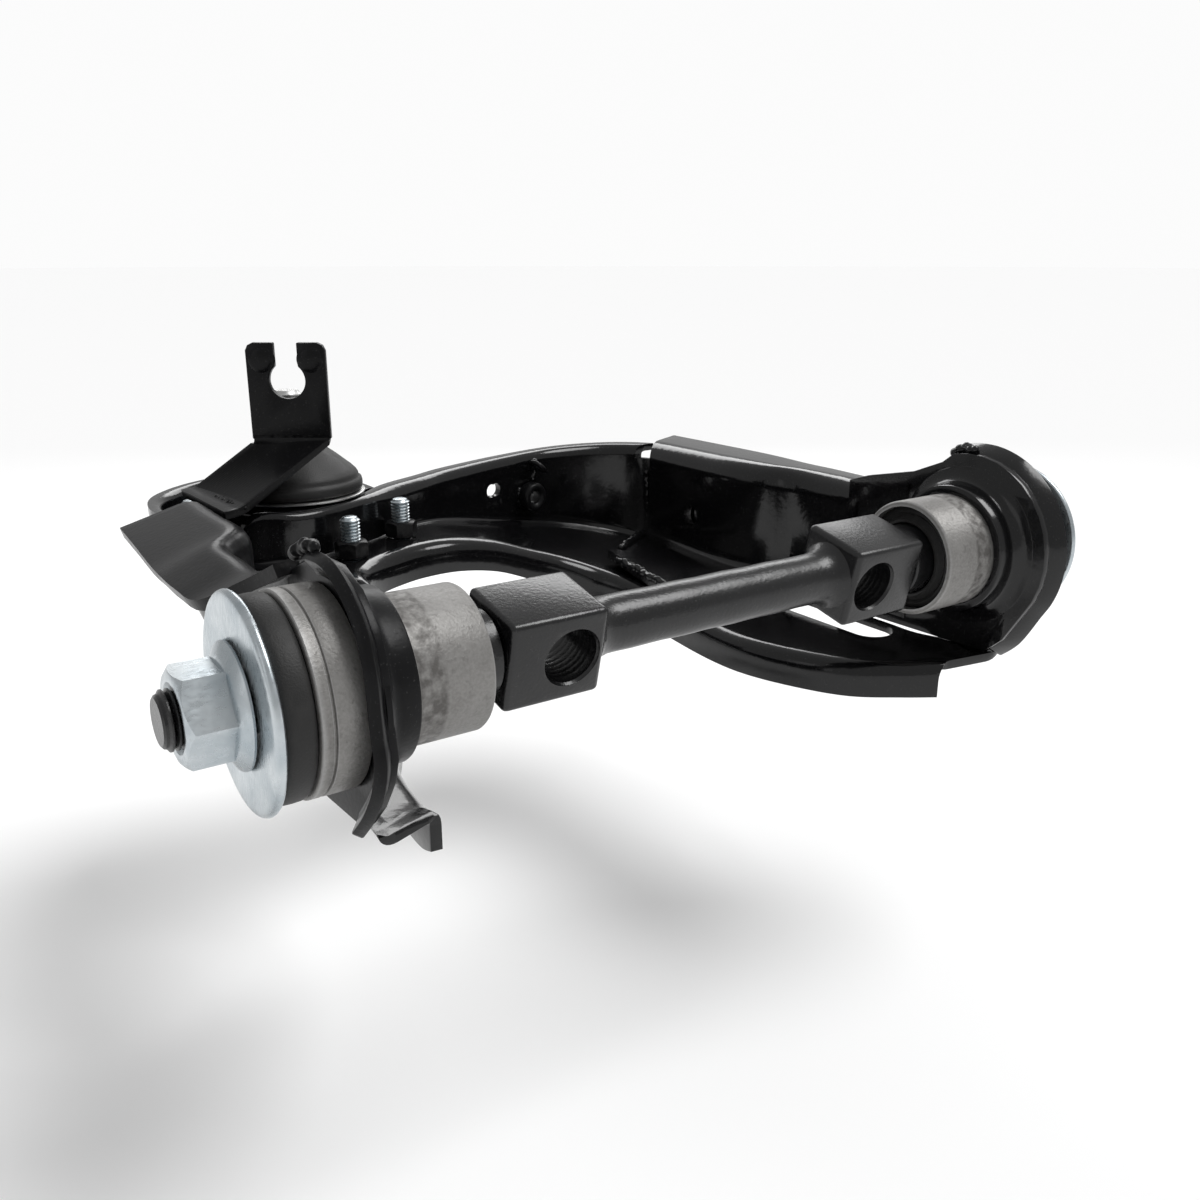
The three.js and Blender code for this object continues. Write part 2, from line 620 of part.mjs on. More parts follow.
function eyeBracket(side, { roofEnd, wallEndY, stations }) {
  const half = BRACKET_SHEET / 2;
  const profiles = stations.map((at) => bracketProfile(...at));
  const channel = atSide(formedSheet(profiles, BRACKET_SHEET), side);
  const eyePlate = atSide(acrossX(eyeOutline(side), EYE_X - half, EYE_X + half), side);
  const lipShape = side < 0 ? eyeLip(FRONT_EYE_R) : eyeLip(EYE_R);
  const lip = atSide(acrossX(lipShape, EYE_X, side < 0 ? FRONT_LIP_X : EYE_LIP_X), side);
  const collar = turnedOnShaft(
    [
      [COLLAR_END, SMALL_SLEEVE_R + GAP],
      [COLLAR_END, COLLAR_R - 0.6],
      [COLLAR_END + 1, COLLAR_R],
      [EYE_X - half - 5, COLLAR_R],
      [EYE_X - half - 1.6, COLLAR_R + 1.6],
      [EYE_X - half, COLLAR_ROOT_R],
      [EYE_X, COLLAR_ROOT_R],
      [EYE_X, SMALL_SLEEVE_R + GAP],
    ],
    side,
  );
  const bore = shaftBore(COLLAR_END, EYE_LIP_X, SMALL_SLEEVE_R + GAP, side);
  // the bracket's own web stops at the jog, and ends on a diagonal
  const web = new THREE.BoxGeometry(80, JOG_Y[0] + 64, 40).translate(88.3, JOG_Y[0] / 2 - 32, -44);
  const jogWeb = new THREE.BoxGeometry(70, 20, 40).translate(82, JOG_Y[1] - 10, -44);
  const frontWeb = new THREE.BoxGeometry(60, 80, 60).translate(88.5, 130, -30);
  const diagonal = [[124.5, 199], [74, 157], [40, 150], [40, 240], [160, 240], [160, 199]];
  const endAway = atSide(raised(diagonal, -60, -20), side);
  const roofAway = atSide(raised(roofEnd, -60, 40), side);
  const beyond = [[90, wallEndY], [134, wallEndY], [134, 240], [90, 240]];
  const wallAway = atSide(raised(beyond, -60, RIM_Z + 1), side);
  const hole = WALL_HOLE.clone().setX(side * WALL_HOLE.x);
  const wallHole = throughWall(5, hole, new THREE.Vector3(1, 0, 0), 12);
  const trimmed = cut(
    channel,
    atSide(web, side),
    atSide(jogWeb, side),
    atSide(frontWeb, -1),
    endAway,
    wallAway,
    roofAway,
  );
  return cut(join(trimmed, eyePlate, lip, collar), bore, wallHole);
}

// ---------- fittings on the arm ----------

function weldNut() {
  const inwards = WALL_OUT.clone().negate();
  const face = WELD_NUT.clone().addScaledVector(inwards, SHEET / 2 + 1.4);
  const body = rod(7.4, face, face.clone().addScaledVector(inwards, 6), 16);
  return body.subtract(throughWall(4, WELD_NUT, WALL_OUT, 20));
}

function wireLoop() {
  const inwards = WALL_OUT.clone().negate();
  const root = new THREE.Vector3(60.5, 218.6, 6).addScaledVector(inwards, SHEET / 2 + 6.4);
  const ring = new THREE.TorusGeometry(3.6, 1.2, 6, 12).rotateX(Math.PI / 2);
  return solid(ring.rotateX(Math.PI / 2).rotateZ(0.2).translate(root.x, root.y, root.z));
}

function keyhole() {
  const shape = new THREE.Shape();
  const half = HOSE_WIDTH / 2;
  const slot = KEYHOLE_SLOT / 2;
  const meet = Math.asin(slot / KEYHOLE_R);
  shape.moveTo(-half, HOSE_BEND_Z);
  shape.lineTo(half, HOSE_BEND_Z);
  shape.lineTo(half, HOSE_TOP_Z - 2);
  shape.lineTo(half - 2, HOSE_TOP_Z);
  shape.lineTo(slot, HOSE_TOP_Z);
  shape.absarc(0, KEYHOLE_Z, KEYHOLE_R, Math.PI / 2 - meet, Math.PI / 2 + meet, true);
  shape.lineTo(-slot, HOSE_TOP_Z);
  shape.lineTo(-half + 2, HOSE_TOP_Z);
  shape.lineTo(-half, HOSE_TOP_Z - 2);
  return shape;
}

function hoseBracket() {
  const settings = { depth: HOSE_SHEET, bevelEnabled: false, curveSegments: 14 };
  const upright = new THREE.ExtrudeGeometry(keyhole(), settings);
  upright.rotateX(Math.PI / 2).translate(0, HOSE_SHEET / 2, 0);
  upright.rotateZ(HOSE_TURN).translate(HOSE_MID.x, HOSE_MID.y, 0);
  const across = new THREE.Vector3(Math.cos(HOSE_TURN), Math.sin(HOSE_TURN), 0);
  const bend = (t) => HOSE_MID.clone().setZ(HOSE_BEND_Z).addScaledVector(across, t * HOSE_WIDTH);
  const edge = (t, root, toe) => [
    bend(t).setZ(HOSE_BEND_Z + 2),
    bend(t),
    new THREE.Vector3(...root),
    new THREE.Vector3(...toe),
  ];
  const rightEdge = edge(0.48, [-107, 152, 15.4], [-114, 151, 14.8]);
  const leftEdge = edge(-0.48, [-110.5, 203, 15.4], [-116, 204, 14.8]);
  const profiles = [0, 0.25, 0.5, 0.75, 1].map((t) => {
    const points = rightEdge.map((from, i) => from.clone().lerp(leftEdge[i], t));
    return filleted(points, 4, 3);
  });
  return solid(upright).add(solid(formedSheet(profiles, HOSE_SHEET)));
}

// ---------- ball joint ----------

const FLANGE_TOP_Z = LEDGE_Z - SHEET / 2 - 2 * GAP;
const FLANGE_THICK = 6;

function jointHousing() {
  const body = turnedOnStud([
    [20, -19], [24, -19], [24, 11.5], [23, 12.5], [15, 12.5],
    [15, 8], [17.5, 5], [17.5, -14], [20, -14],
  ]);
  const lobe = (reach) => JOINT_BOLTS.map((at) => at.clone().sub(BALL).setZ(0).setLength(reach));
  const corners = lobe(BOLT_ACROSS * 1.26).map((v) => [BALL.x + v.x, BALL.y + v.y]);
  const outline = [corners[0], corners[1], corners[3], corners[2]];
  const flange = solid(raised(outline, FLANGE_TOP_Z - FLANGE_THICK, FLANGE_TOP_Z));
  const boltHoles = JOINT_BOLTS.map((at) => uprightHole(BOLT_R + GAP, at, -30, 0));
  return join(body, cut(flange, uprightHole(20, BALL, -40, 20), ...boltHoles));
}

function jointCap() {
  return turnedOnStud([
    [0, -19.8], [19.6, -19.8], [19.6, -14.6], [17.2, -14.6], [17.2, -17.5], [0, -17.5],
  ]);
}

function ballSeat() {
  const gap = BALL_R + 1.6 * GAP;
  const angles = [-1.02, -0.6, -0.18, 0.24, 0.6];
  const bowl = angles.map((a) => [gap * Math.cos(a), BALL.z + gap * Math.sin(a)]);
  const mouth = bowl[bowl.length - 1][0];
  return turnedOnStud([
    [bowl[0][0], -14.3], ...bowl, [mouth, 7.4], [14.7, 7.4], [17.2, 4.6], [17.2, -14.3],
  ]);
}

function ballStud() {
  const sphere = new THREE.SphereGeometry(BALL_R, 20, 12).rotateX(Math.PI / 2);
  const ball = solid(sphere.translate(BALL.x, BALL.y, BALL.z));
  const shank = turnedOnStud([
    [0, 4], [8, 4], [8, 14], [9.6, 24], [9.6, 31], [7.3, 43], [5.8, 44],
    [5.8, STUD_TOP_Z - 1], [4.8, STUD_TOP_Z], [0, STUD_TOP_Z],
  ]);
  const pinReach = new THREE.Vector3(9, 13, 0);
  const pinCentre = BALL.clone().setZ(STUD_TOP_Z - 4);
  const pinHole = rod(1.5, pinCentre.clone().sub(pinReach), pinCentre.clone().add(pinReach), 12);
  return join(ball, shank).subtract(pinHole);
}

function dustBoot() {
  const outside = [
    [BOOT_R - 1.1, 14.2], [BOOT_R, 16.4], [BOOT_R - 0.3, 19], [26.5, 21.8], [22.4, 25.6],
    [17.8, 29.6], [14.4, 31.6], [12.6, 33.4], [12.4, 36],
  ];
  const inside = [
    [10.1, 36], [10.4, 32.6], [13, 29.4], [17, 26.2], [21.5, 22.6], [24.6, 19.6], [25.6, 17],
    [25.4, 14.2],
  ];
  return turnedOnStud([...outside, ...inside]);
}

function bootRing() {
  return turnedOnStud([[25.2, PAD_TOP_Z + GAP], [29.3, PAD_TOP_Z + GAP], [29.3, 13.9], [25.2, 13.9]]);
}

function bootNeckRing() {
  return turnedOnStud([[12.8, 34], [14, 34], [14, 35.4], [12.8, 35.4]]);
}

function jointBolt(at) {
  const headTop = FLANGE_TOP_Z - FLANGE_THICK - GAP;
  const height = 5.3;
  const head = new THREE.CylinderGeometry(JOINT_HEX_R, JOINT_HEX_R, height, 6);
  head.rotateX(Math.PI / 2).translate(at.x, at.y, headTop - height / 2);
  return join(solid(head), uprightHole(BOLT_R - 0.1, at, headTop - 2, BOLT_TOP_Z));
}

function jointNut(at) {
  const height = 6.4;
  const hex = new THREE.CylinderGeometry(JOINT_HEX_R, JOINT_HEX_R, height, 6);
  hex.rotateX(Math.PI / 2).translate(at.x, at.y, LEDGE_Z + SHEET / 2 + 2 * GAP + height / 2);
  return solid(hex).subtract(uprightHole(BOLT_R + 0.2, at, -20, 20));
}

// ---------- assembly ----------

piece("pivot_shaft", pivotShaft(), forgedBlack);
for (const [end, side] of [["front", -1], ["rear", 1]]) {
  piece(`${end}_lock_nut`, lockNut(side), zinc);
  piece(`${end}_end_washer`, endWasher(side), zinc);
  piece(`${end}_inner_sleeve`, innerSleeve(side), bareSteel);
  piece(`${end}_outer_sleeve`, outerSleeve(side), phosphate);
  piece(`${end}_bush_rubber`, bushRubber(side), rubber);
  piece(`${end}_thrust_ring`, thrustRing(side), rubber);
}
piece("front_eye_bracket", eyeBracket(-1, FRONT_BRACKET), satinBlack);
piece("rear_eye_bracket", eyeBracket(1, REAR_BRACKET), glossBlack);
piece("arm_pressing", armPressing(), glossBlack);
piece("hose_bracket", hoseBracket(), satinBlack);
piece("weld_nut", weldNut(), glossBlack);
piece("wire_loop", wireLoop(), glossBlack);
piece("joint_housing", jointHousing(), phosphate);
piece("joint_cap", jointCap(), phosphate);
piece("ball_seat", ballSeat(), seatPlastic);
piece("ball_stud", ballStud(), bareSteel);
piece("dust_boot", dustBoot(), rubber);
piece("boot_ring", bootRing(), bareSteel);
piece("boot_neck_ring", bootNeckRing(), bareSteel);
JOINT_BOLTS.forEach((at, i) => {
  piece(`joint_bolt_${i + 1}`, jointBolt(at), zinc);
  piece(`joint_nut_${i + 1}`, jointNut(at), zinc);
});

export default arm;
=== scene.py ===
import math
import random

import bmesh
import bpy
import numpy as np
from mathutils import Matrix, Vector


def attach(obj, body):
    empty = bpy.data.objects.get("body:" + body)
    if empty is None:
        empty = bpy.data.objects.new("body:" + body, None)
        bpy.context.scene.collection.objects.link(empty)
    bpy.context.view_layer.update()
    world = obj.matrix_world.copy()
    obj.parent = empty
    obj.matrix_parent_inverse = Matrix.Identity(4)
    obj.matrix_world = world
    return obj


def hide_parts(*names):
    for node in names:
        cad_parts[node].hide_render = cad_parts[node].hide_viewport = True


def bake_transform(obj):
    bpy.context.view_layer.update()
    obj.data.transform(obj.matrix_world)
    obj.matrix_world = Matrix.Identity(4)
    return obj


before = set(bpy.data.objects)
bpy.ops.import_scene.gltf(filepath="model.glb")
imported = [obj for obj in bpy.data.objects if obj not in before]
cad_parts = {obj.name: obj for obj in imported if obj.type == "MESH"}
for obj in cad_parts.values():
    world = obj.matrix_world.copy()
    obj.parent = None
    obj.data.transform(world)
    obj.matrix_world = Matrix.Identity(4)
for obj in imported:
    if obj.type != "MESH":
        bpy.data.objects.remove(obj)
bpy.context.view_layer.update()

random.seed(11)
mm = 0.001
ends = {"front": -1, "rear": 1}


# surface finishes

class Wire:  # a shader socket that can be added, scaled and compared like a number
    def __init__(self, tree, socket):
        self.tree = tree
        self.socket = socket

    def add(self, kind, settings=None, inputs=None, output=0):
        node = self.tree.nodes.new(kind)
        for key, value in (settings or {}).items():
            setattr(node, key, value)
        for key, value in (inputs or {}).items():
            if isinstance(value, Wire):
                self.tree.links.new(value.socket, node.inputs[key])
            else:
                node.inputs[key].default_value = value
        return Wire(self.tree, node.outputs[output])

    def maths(self, operation, first, second=0.0):
        return self.add("ShaderNodeMath", {"operation": operation}, {0: first, 1: second})

    def __add__(self, other):
        return self.maths("ADD", self, other)

    def __sub__(self, other):
        return self.maths("SUBTRACT", self, other)

    def __mul__(self, other):
        return self.maths("MULTIPLY", self, other)

    def __rsub__(self, other):
        return self.maths("SUBTRACT", other, self)

    __radd__ = __add__
    __rmul__ = __mul__

    def ramp(self, low, high):
        return self.add("ShaderNodeMapRange", None, {"Value": self, "From Min": low, "From Max": high})

    def noise(self, size, detail=3.0, stretch=(1, 1, 1)):
        place = self.add("ShaderNodeVectorMath", {"operation": "MULTIPLY"}, {0: self, 1: stretch})
        return self.add("ShaderNodeTexNoise", None, {"Vector": place, "Scale": 1 / size, "Detail": detail})

    def axis(self, index):
        return self.add("ShaderNodeSeparateXYZ", None, {0: self}, index)

    def blend(self, first, second):  # this socket as the share of the second colour
        return self.add("ShaderNodeMix", {"data_type": "RGBA"}, {0: self, 6: first, 7: second}, 2)


class Finish:  # one material, with what its surface maths starts from
    def __init__(self, name, slot, metallic, **sockets):
        self.slot = slot
        self.material = bpy.data.materials.new(name)
        self.material.use_nodes = True
        self.tree = self.material.node_tree
        self.shader = self.tree.nodes["Principled BSDF"]
        self.shader.inputs["Metallic"].default_value = metallic
        for key, value in sockets.items():
            self.shader.inputs[key.replace("_", " ")].default_value = value
        place = self.tree.nodes.new("ShaderNodeTexCoord")
        self.place = Wire(self.tree, place.outputs["Object"])
        edge = self.tree.nodes.new("ShaderNodeAttribute")
        edge.attribute_name = "wear"
        self.wear = Wire(self.tree, edge.outputs["Fac"])

    def feed(self, colour, roughness, height, depth):
        relief = self.place.add("ShaderNodeBump", None, {"Height": height, "Distance": depth})
        for key, wire in (("Base Color", colour), ("Roughness", roughness), ("Normal", relief)):
            self.tree.links.new(wire.socket, self.shader.inputs[key])
        return self


def rgb(red, green, blue):
    return (red, green, blue, 1)


def paint(name, slot, look):
    finish = Finish(name, slot, 0.0, Specular_IOR_Level=look["specular"])
    place = finish.place
    peel = place.noise(look["peel"], 2)
    cloud = place.noise(0.045, 4)
    dust = place.noise(0.0007, 2).ramp(0.66, 0.72)
    scuff = (finish.wear * place.noise(0.004, 5)).ramp(0.50, 0.70)
    scratch = place.noise(0.0016, 3, (1, 9, 3)).ramp(0.70, 0.76) * cloud.ramp(0.45, 0.6)
    colour = cloud.blend(rgb(*look["dark"]), rgb(*look["light"]))
    colour = (dust * 0.5).blend(colour, rgb(0.05, 0.05, 0.05))
    colour = (scuff * look["scuff"]).blend(colour, rgb(0.16, 0.155, 0.15))
    roughness = look["roughness"] + 0.10 * cloud.ramp(0.35, 0.75) + 0.18 * scuff + 0.12 * scratch
    return finish.feed(colour, roughness, peel + 0.25 * scratch - 0.6 * scuff, look["relief"])


glossBlack = paint("glossBlackPaint", "gloss_black_paint", {
    "specular": 0.4, "roughness": 0.1, "peel": 0.0035, "relief": 0.00006, "scuff": 0.1,
    "dark": (0.0022, 0.0022, 0.0025), "light": (0.0045, 0.0045, 0.005)})
satinBlack = paint("satinBlackPaint", "satin_black_paint", {
    "specular": 0.14, "roughness": 0.26, "peel": 0.0018, "relief": 0.00006, "scuff": 0.1,
    "dark": (0.0035, 0.0035, 0.004), "light": (0.007, 0.007, 0.0075)})
forgedBlack = paint("forgedBlackPaint", "forged_black_paint", {
    "specular": 0.5, "roughness": 0.24, "peel": 0.0012, "relief": 0.00009, "scuff": 0.1,
    "dark": (0.003, 0.003, 0.0034), "light": (0.006, 0.006, 0.0065)})


def phosphate(name, slot, collarShadeBand):
    finish = Finish(name, slot, 0.55, Specular_IOR_Level=0.4)
    place = finish.place
    cloud = place.noise(0.014, 5)
    grain = place.noise(0.0009, 4)
    speck = place.noise(0.0022, 4).ramp(0.58, 0.68)
    # painted shade: a band on the sleeves just inside the collars, between the two |x| values given, is
    # darkened and broken into blotches by noise
    along = place.maths("ABSOLUTE", place.axis(0))
    collarShade = along.ramp(collarShadeBand[0], collarShadeBand[0] + 0.0012) * (1 - along.ramp(collarShadeBand[1], collarShadeBand[1] + 0.0012))
    collarShadeBlotches = collarShade * place.noise(0.0028, 5).ramp(0.36, 0.62)
    colour = cloud.ramp(0.3, 0.7).blend(rgb(0.17, 0.165, 0.158), rgb(0.245, 0.24, 0.232))
    colour = (grain.ramp(0.35, 0.7) * 0.35).blend(colour, rgb(0.33, 0.325, 0.315))
    colour = (speck * 0.25).blend(colour, rgb(0.10, 0.095, 0.09))
    colour = (collarShadeBlotches * 0.75).blend(colour, rgb(0.075, 0.07, 0.066))
    colour = (finish.wear.ramp(0.4, 0.9) * 0.5).blend(colour, rgb(0.5, 0.5, 0.5))
    roughness = 0.48 + 0.12 * cloud - 0.08 * grain + 0.1 * collarShadeBlotches
    return finish.feed(colour, roughness, grain + 0.4 * speck, 0.00012)


# the pair is the |x| span, in metres, of the painted shade beside the collars
greySleeve = phosphate("greySleeve", "phosphate_steel", (0.1085, 0.1165))


def plated(name, slot, look):
    finish = Finish(name, slot, 1.0)
    place = finish.place
    cloud = place.noise(0.012, 5)
    handling = place.noise(0.003, 4, (1, 4, 1))
    pit = place.noise(0.0012, 3).ramp(0.66, 0.74)
    colour = cloud.ramp(0.3, 0.7).blend(rgb(*look["cool"]), rgb(*look["pale"]))
    colour = (pit * 0.15).blend(colour, rgb(0.2, 0.2, 0.2))
    colour = (finish.wear.ramp(0.5, 1.0) * 0.1).blend(colour, rgb(0.85, 0.85, 0.85))
    roughness = look["roughness"] + 0.18 * handling.ramp(0.35, 0.75) + 0.06 * cloud
    return finish.feed(colour, roughness, handling + pit * -0.6, 0.00002)


zinc = plated("zincPlate", "zinc_plate", {
    "cool": (0.40, 0.45, 0.48), "pale": (0.58, 0.62, 0.64), "roughness": 0.22})
machined = plated("machinedSteel", "bare_steel", {
    "cool": (0.42, 0.42, 0.42), "pale": (0.56, 0.56, 0.55), "roughness": 0.28})


def rubberFinish(name):
    finish = Finish(name, "rubber", 0.0, Specular_IOR_Level=0.4)
    cloud = finish.place.noise(0.02, 4)
    bloom = finish.place.noise(0.005, 5).ramp(0.5, 0.75)
    grain = finish.place.noise(0.0006, 3)
    colour = cloud.blend(rgb(0.007, 0.007, 0.007), rgb(0.014, 0.0135, 0.013))
    colour = (bloom * 0.3).blend(colour, rgb(0.035, 0.034, 0.033))
    return finish.feed(colour, 0.45 + 0.2 * cloud + 0.08 * bloom, grain, 0.0001)


blackRubber = rubberFinish("blackRubber")


def plasticFinish(name):
    finish = Finish(name, "seat_plastic", 0.0)
    cloud = finish.place.noise(0.01, 3)
    colour = cloud.blend(rgb(0.66, 0.63, 0.53), rgb(0.78, 0.76, 0.68))
    return finish.feed(colour, 0.4 + 0.15 * cloud, finish.place.noise(0.001), 0.00005)


seatPlastic = plasticFinish("seatPlastic")
print("finishes made")


# shaping

def tempObject(bm):
    mesh = bpy.data.meshes.new("shape")
    bm.to_mesh(mesh)
    bm.free()
    shape = bpy.data.objects.new("shape", mesh)
    bpy.context.collection.objects.link(shape)
    return shape


def loose(shape):  # an object's mesh as a bmesh again, with the object gone
    bm = bmesh.new()
    bm.from_mesh(shape.data)
    bpy.data.objects.remove(shape)
    return bm


def applied(shape, kind, **settings):  # one modifier, put on and applied
    modifier = shape.modifiers.new(kind, kind)
    for key, value in settings.items():
        setattr(modifier, key, value)
    bpy.context.view_layer.update()
    graph = bpy.context.evaluated_depsgraph_get()
    mesh = bpy.data.meshes.new_from_object(shape.evaluated_get(graph), depsgraph=graph)
    shape.modifiers.clear()
    old = shape.data
    shape.data = mesh
    bpy.data.meshes.remove(old)
    return shape


def carved(shape, cutters, operation="DIFFERENCE"):
    for bm in cutters:
        cutter = tempObject(bm)
        applied(shape, "BOOLEAN", object=cutter, operation=operation, solver="MANIFOLD")
        bpy.data.objects.remove(cutter)
    return shape


def fused(*bms):  # several closed shapes in one bmesh
    whole = bmesh.new()
    for bm in bms:
        part = bpy.data.meshes.new("part")
        bm.to_mesh(part)
        bm.free()
        whole.from_mesh(part)
        bpy.data.meshes.remove(part)
    return whole


def markWear(mesh):  # how sharp the surface is at each point, for worn paint and plating
    bm = bmesh.new()
    bm.from_mesh(mesh)
    sharp = np.zeros(len(bm.verts))
    for edge in bm.edges:
        if len(edge.link_faces) == 2 and edge.is_convex:
            angle = edge.calc_face_angle(0)
            for vert in edge.verts:
                sharp[vert.index] = max(sharp[vert.index], angle)
    bm.free()
    wear = mesh.attributes.new("wear", "FLOAT", "POINT")
    wear.data.foreach_set("value", np.clip((sharp - 0.25) / 0.6, 0, 1).astype(np.float32))


def finished(name, shape, finish, body, nodes=(), bevel=0.0, crease=38):
    if isinstance(shape, bmesh.types.BMesh):
        shape = tempObject(shape)
    if bevel:
        applied(shape, "BEVEL", width=bevel, segments=2, limit_method="ANGLE", angle_limit=0.7)
    mesh = shape.data
    bm = bmesh.new()
    bm.from_mesh(mesh)
    bmesh.ops.scale(bm, vec=(mm, mm, mm), verts=bm.verts)
    bmesh.ops.remove_doubles(bm, verts=bm.verts, dist=0.002 * mm)
    bmesh.ops.recalc_face_normals(bm, faces=bm.faces)
    bm.to_mesh(mesh)
    bm.free()
    mesh.shade_smooth()
    mesh.set_sharp_from_angle(angle=math.radians(crease))
    markWear(mesh)
    mesh.materials.clear()
    mesh.materials.append(finish.material)
    shape.name = name
    mesh.name = name
    if body:
        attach(shape, body)
    if nodes:
        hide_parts(*nodes)
    return shape


def spun(profile, axis, centre=(0, 0, 0), steps=96, angle=2 * math.pi):
    # a run of [along, radius] points turned about the axis, "x" or "z"
    bm = bmesh.new()
    place = Vector(centre)
    for along, radius in profile:
        bm.verts.new(place + (Vector((along, radius, 0)) if axis == "x" else Vector((radius, 0, along))))
    bm.verts.ensure_lookup_table()
    loop = list(bm.verts)
    for first, second in zip(loop, loop[1:]):
        bm.edges.new((first, second))
    if min(loop[0].co.length, profile[0][1]) > 0.01:
        bm.edges.new((loop[-1], loop[0]))
    direction = (1, 0, 0) if axis == "x" else (0, 0, 1)
    bmesh.ops.spin(bm, geom=bm.verts[:] + bm.edges[:], cent=place, axis=direction, angle=angle,
                   steps=steps, use_merge=True)
    bmesh.ops.remove_doubles(bm, verts=bm.verts, dist=0.002)
    bmesh.ops.recalc_face_normals(bm, faces=bm.faces)
    return bm


def atSide(bm, side):  # the same shape at the other end of the shaft
    if side < 0:
        bmesh.ops.scale(bm, vec=(-1, 1, 1), verts=bm.verts)
        bmesh.ops.recalc_face_normals(bm, faces=bm.faces)
    return bm


def eased(points, radius, steps=4):  # rounds the corners of a run of points
    points = [Vector(point) for point in points]
    out = [points[0]]
    for before, corner, after in zip(points, points[1:], points[2:]):
        back = before - corner
        on = after - corner
        reach = min(radius, 0.45 * back.length, 0.45 * on.length)
        start = corner + back.normalized() * reach
        stop = corner + on.normalized() * reach
        for step in range(steps + 1):
            t = step / steps
            out.append(start * (1 - t) ** 2 + corner * (2 * t * (1 - t)) + stop * t * t)
    out.append(points[-1])
    return out


def flowing(rows, between):  # more rows on the smooth curve through the ones given
    table = np.array([[tuple(point) for point in row] for row in rows])
    out = []
    last = len(table) - 1
    for i in range(last):
        a, b, c, d = table[max(i - 1, 0)], table[i], table[i + 1], table[min(i + 2, last)]
        for step in range(between):
            t = step / between
            out.append(0.5 * (2 * b + (c - a) * t + (2 * a - 5 * b + 4 * c - d) * t ** 2
                              + (3 * b - a - 3 * c + d) * t ** 3))
    out.append(table[-1])
    return out


def sheet(rows, thickness):  # formed sheet metal through rows of points
    bm = bmesh.new()
    count, width = len(rows), len(rows[0])
    bmesh.ops.create_grid(bm, x_segments=count - 1, y_segments=width - 1, size=1)
    ordered = sorted(bm.verts, key=lambda vert: (round(vert.co.y, 4), round(vert.co.x, 4)))
    for index, vert in enumerate(ordered):
        vert.co = Vector(rows[index % count][index // count])
    shape = tempObject(bm)
    return applied(shape, "SOLIDIFY", thickness=thickness, offset=0, use_even_offset=True)


def slab(outline, low, high, axis="z"):  # an outline given a thickness along z or x
    bm = bmesh.new()
    verts = [bm.verts.new((a, b, low) if axis == "z" else (low, a, b)) for a, b in outline]
    face = bm.faces.new(verts)
    side = bmesh.ops.extrude_face_region(bm, geom=[face])
    moved = [item for item in side["geom"] if isinstance(item, bmesh.types.BMVert)]
    rise = (0, 0, high - low) if axis == "z" else (high - low, 0, 0)
    bmesh.ops.translate(bm, verts=moved, vec=rise)
    bmesh.ops.recalc_face_normals(bm, faces=bm.faces)
    return bm


def block(low, high):
    bm = bmesh.new()
    bmesh.ops.create_cube(bm, size=1)
    low, high = Vector(low), Vector(high)
    bmesh.ops.scale(bm, vec=high - low, verts=bm.verts)
    bmesh.ops.translate(bm, verts=bm.verts, vec=(low + high) / 2)
    return bm


def rod(radius, start, stop, sides=48):
    bm = bmesh.new()
    start, stop = Vector(start), Vector(stop)
    span = stop - start
    bmesh.ops.create_cone(bm, cap_ends=True, segments=sides, radius1=radius, radius2=radius,
                          depth=span.length)
    turn = span.to_track_quat("Z", "Y").to_matrix()
    bmesh.ops.rotate(bm, verts=bm.verts, cent=(0, 0, 0), matrix=turn)
    bmesh.ops.translate(bm, verts=bm.verts, vec=(start + stop) / 2)
    return bm


def arc(radius, start, stop, steps=48):
    angles = [start + (stop - start) * step / steps for step in range(steps + 1)]
    return [(radius * math.cos(angle), radius * math.sin(angle)) for angle in angles]


def threads(start, stop, radius, pitch, depth):  # a thread's outline as [along, radius] points
    points = []
    turns = int(abs(stop - start) / pitch)
    step = (stop - start) / turns
    for turn in range(turns):
        points.append([start + step * turn, radius - depth])
        points.append([start + step * (turn + 0.38), radius])
        points.append([start + step * (turn + 0.62), radius])
    points.append([stop, radius - depth])
    return points


def weldBead(name, path, size, finish=None):  # overlapping puddles fused into one lumpy run
    settings = {"pitch": 0.75, "jitter": 0.22, "voxel": 0.45}
    bm = bmesh.new()
    points = [Vector(point) for point in path]
    length = sum((b - a).length for a, b in zip(points, points[1:]))
    count = max(3, int(length / (size * settings["pitch"])))
    for index in range(count + 1):
        reach = length * index / count
        at = points[0]
        for a, b in zip(points, points[1:]):
            if reach <= (b - a).length + 1e-6:
                at = a.lerp(b, reach / max((b - a).length, 1e-6))
                break
            reach -= (b - a).length
            at = b
        wobble = Vector([random.uniform(-1, 1) for _ in range(3)]) * size * settings["jitter"]
        scale = [size * random.uniform(0.8, 1.2) for _ in range(3)]
        place = Matrix.Translation(at + wobble) @ Matrix.Diagonal((*scale, 1))
        bmesh.ops.create_icosphere(bm, subdivisions=3, radius=1, matrix=place)
    shape = applied(tempObject(bm), "REMESH", mode="VOXEL", voxel_size=settings["voxel"])
    applied(shape, "SMOOTH", iterations=3, factor=0.5)
    return finished(name, shape, finish or glossBlack, "arm", crease=80)


# cross shaft

shaftSize = {
    "half": 178, "journal": 8, "rod": 9, "flare": 6.5, "blockX": (52.4, 86), "halfHeight": 14.5,
    "halfDepth": 13.15, "edge": 2.0, "tilt": 13.46, "holeX": 63.9, "hole": 9}


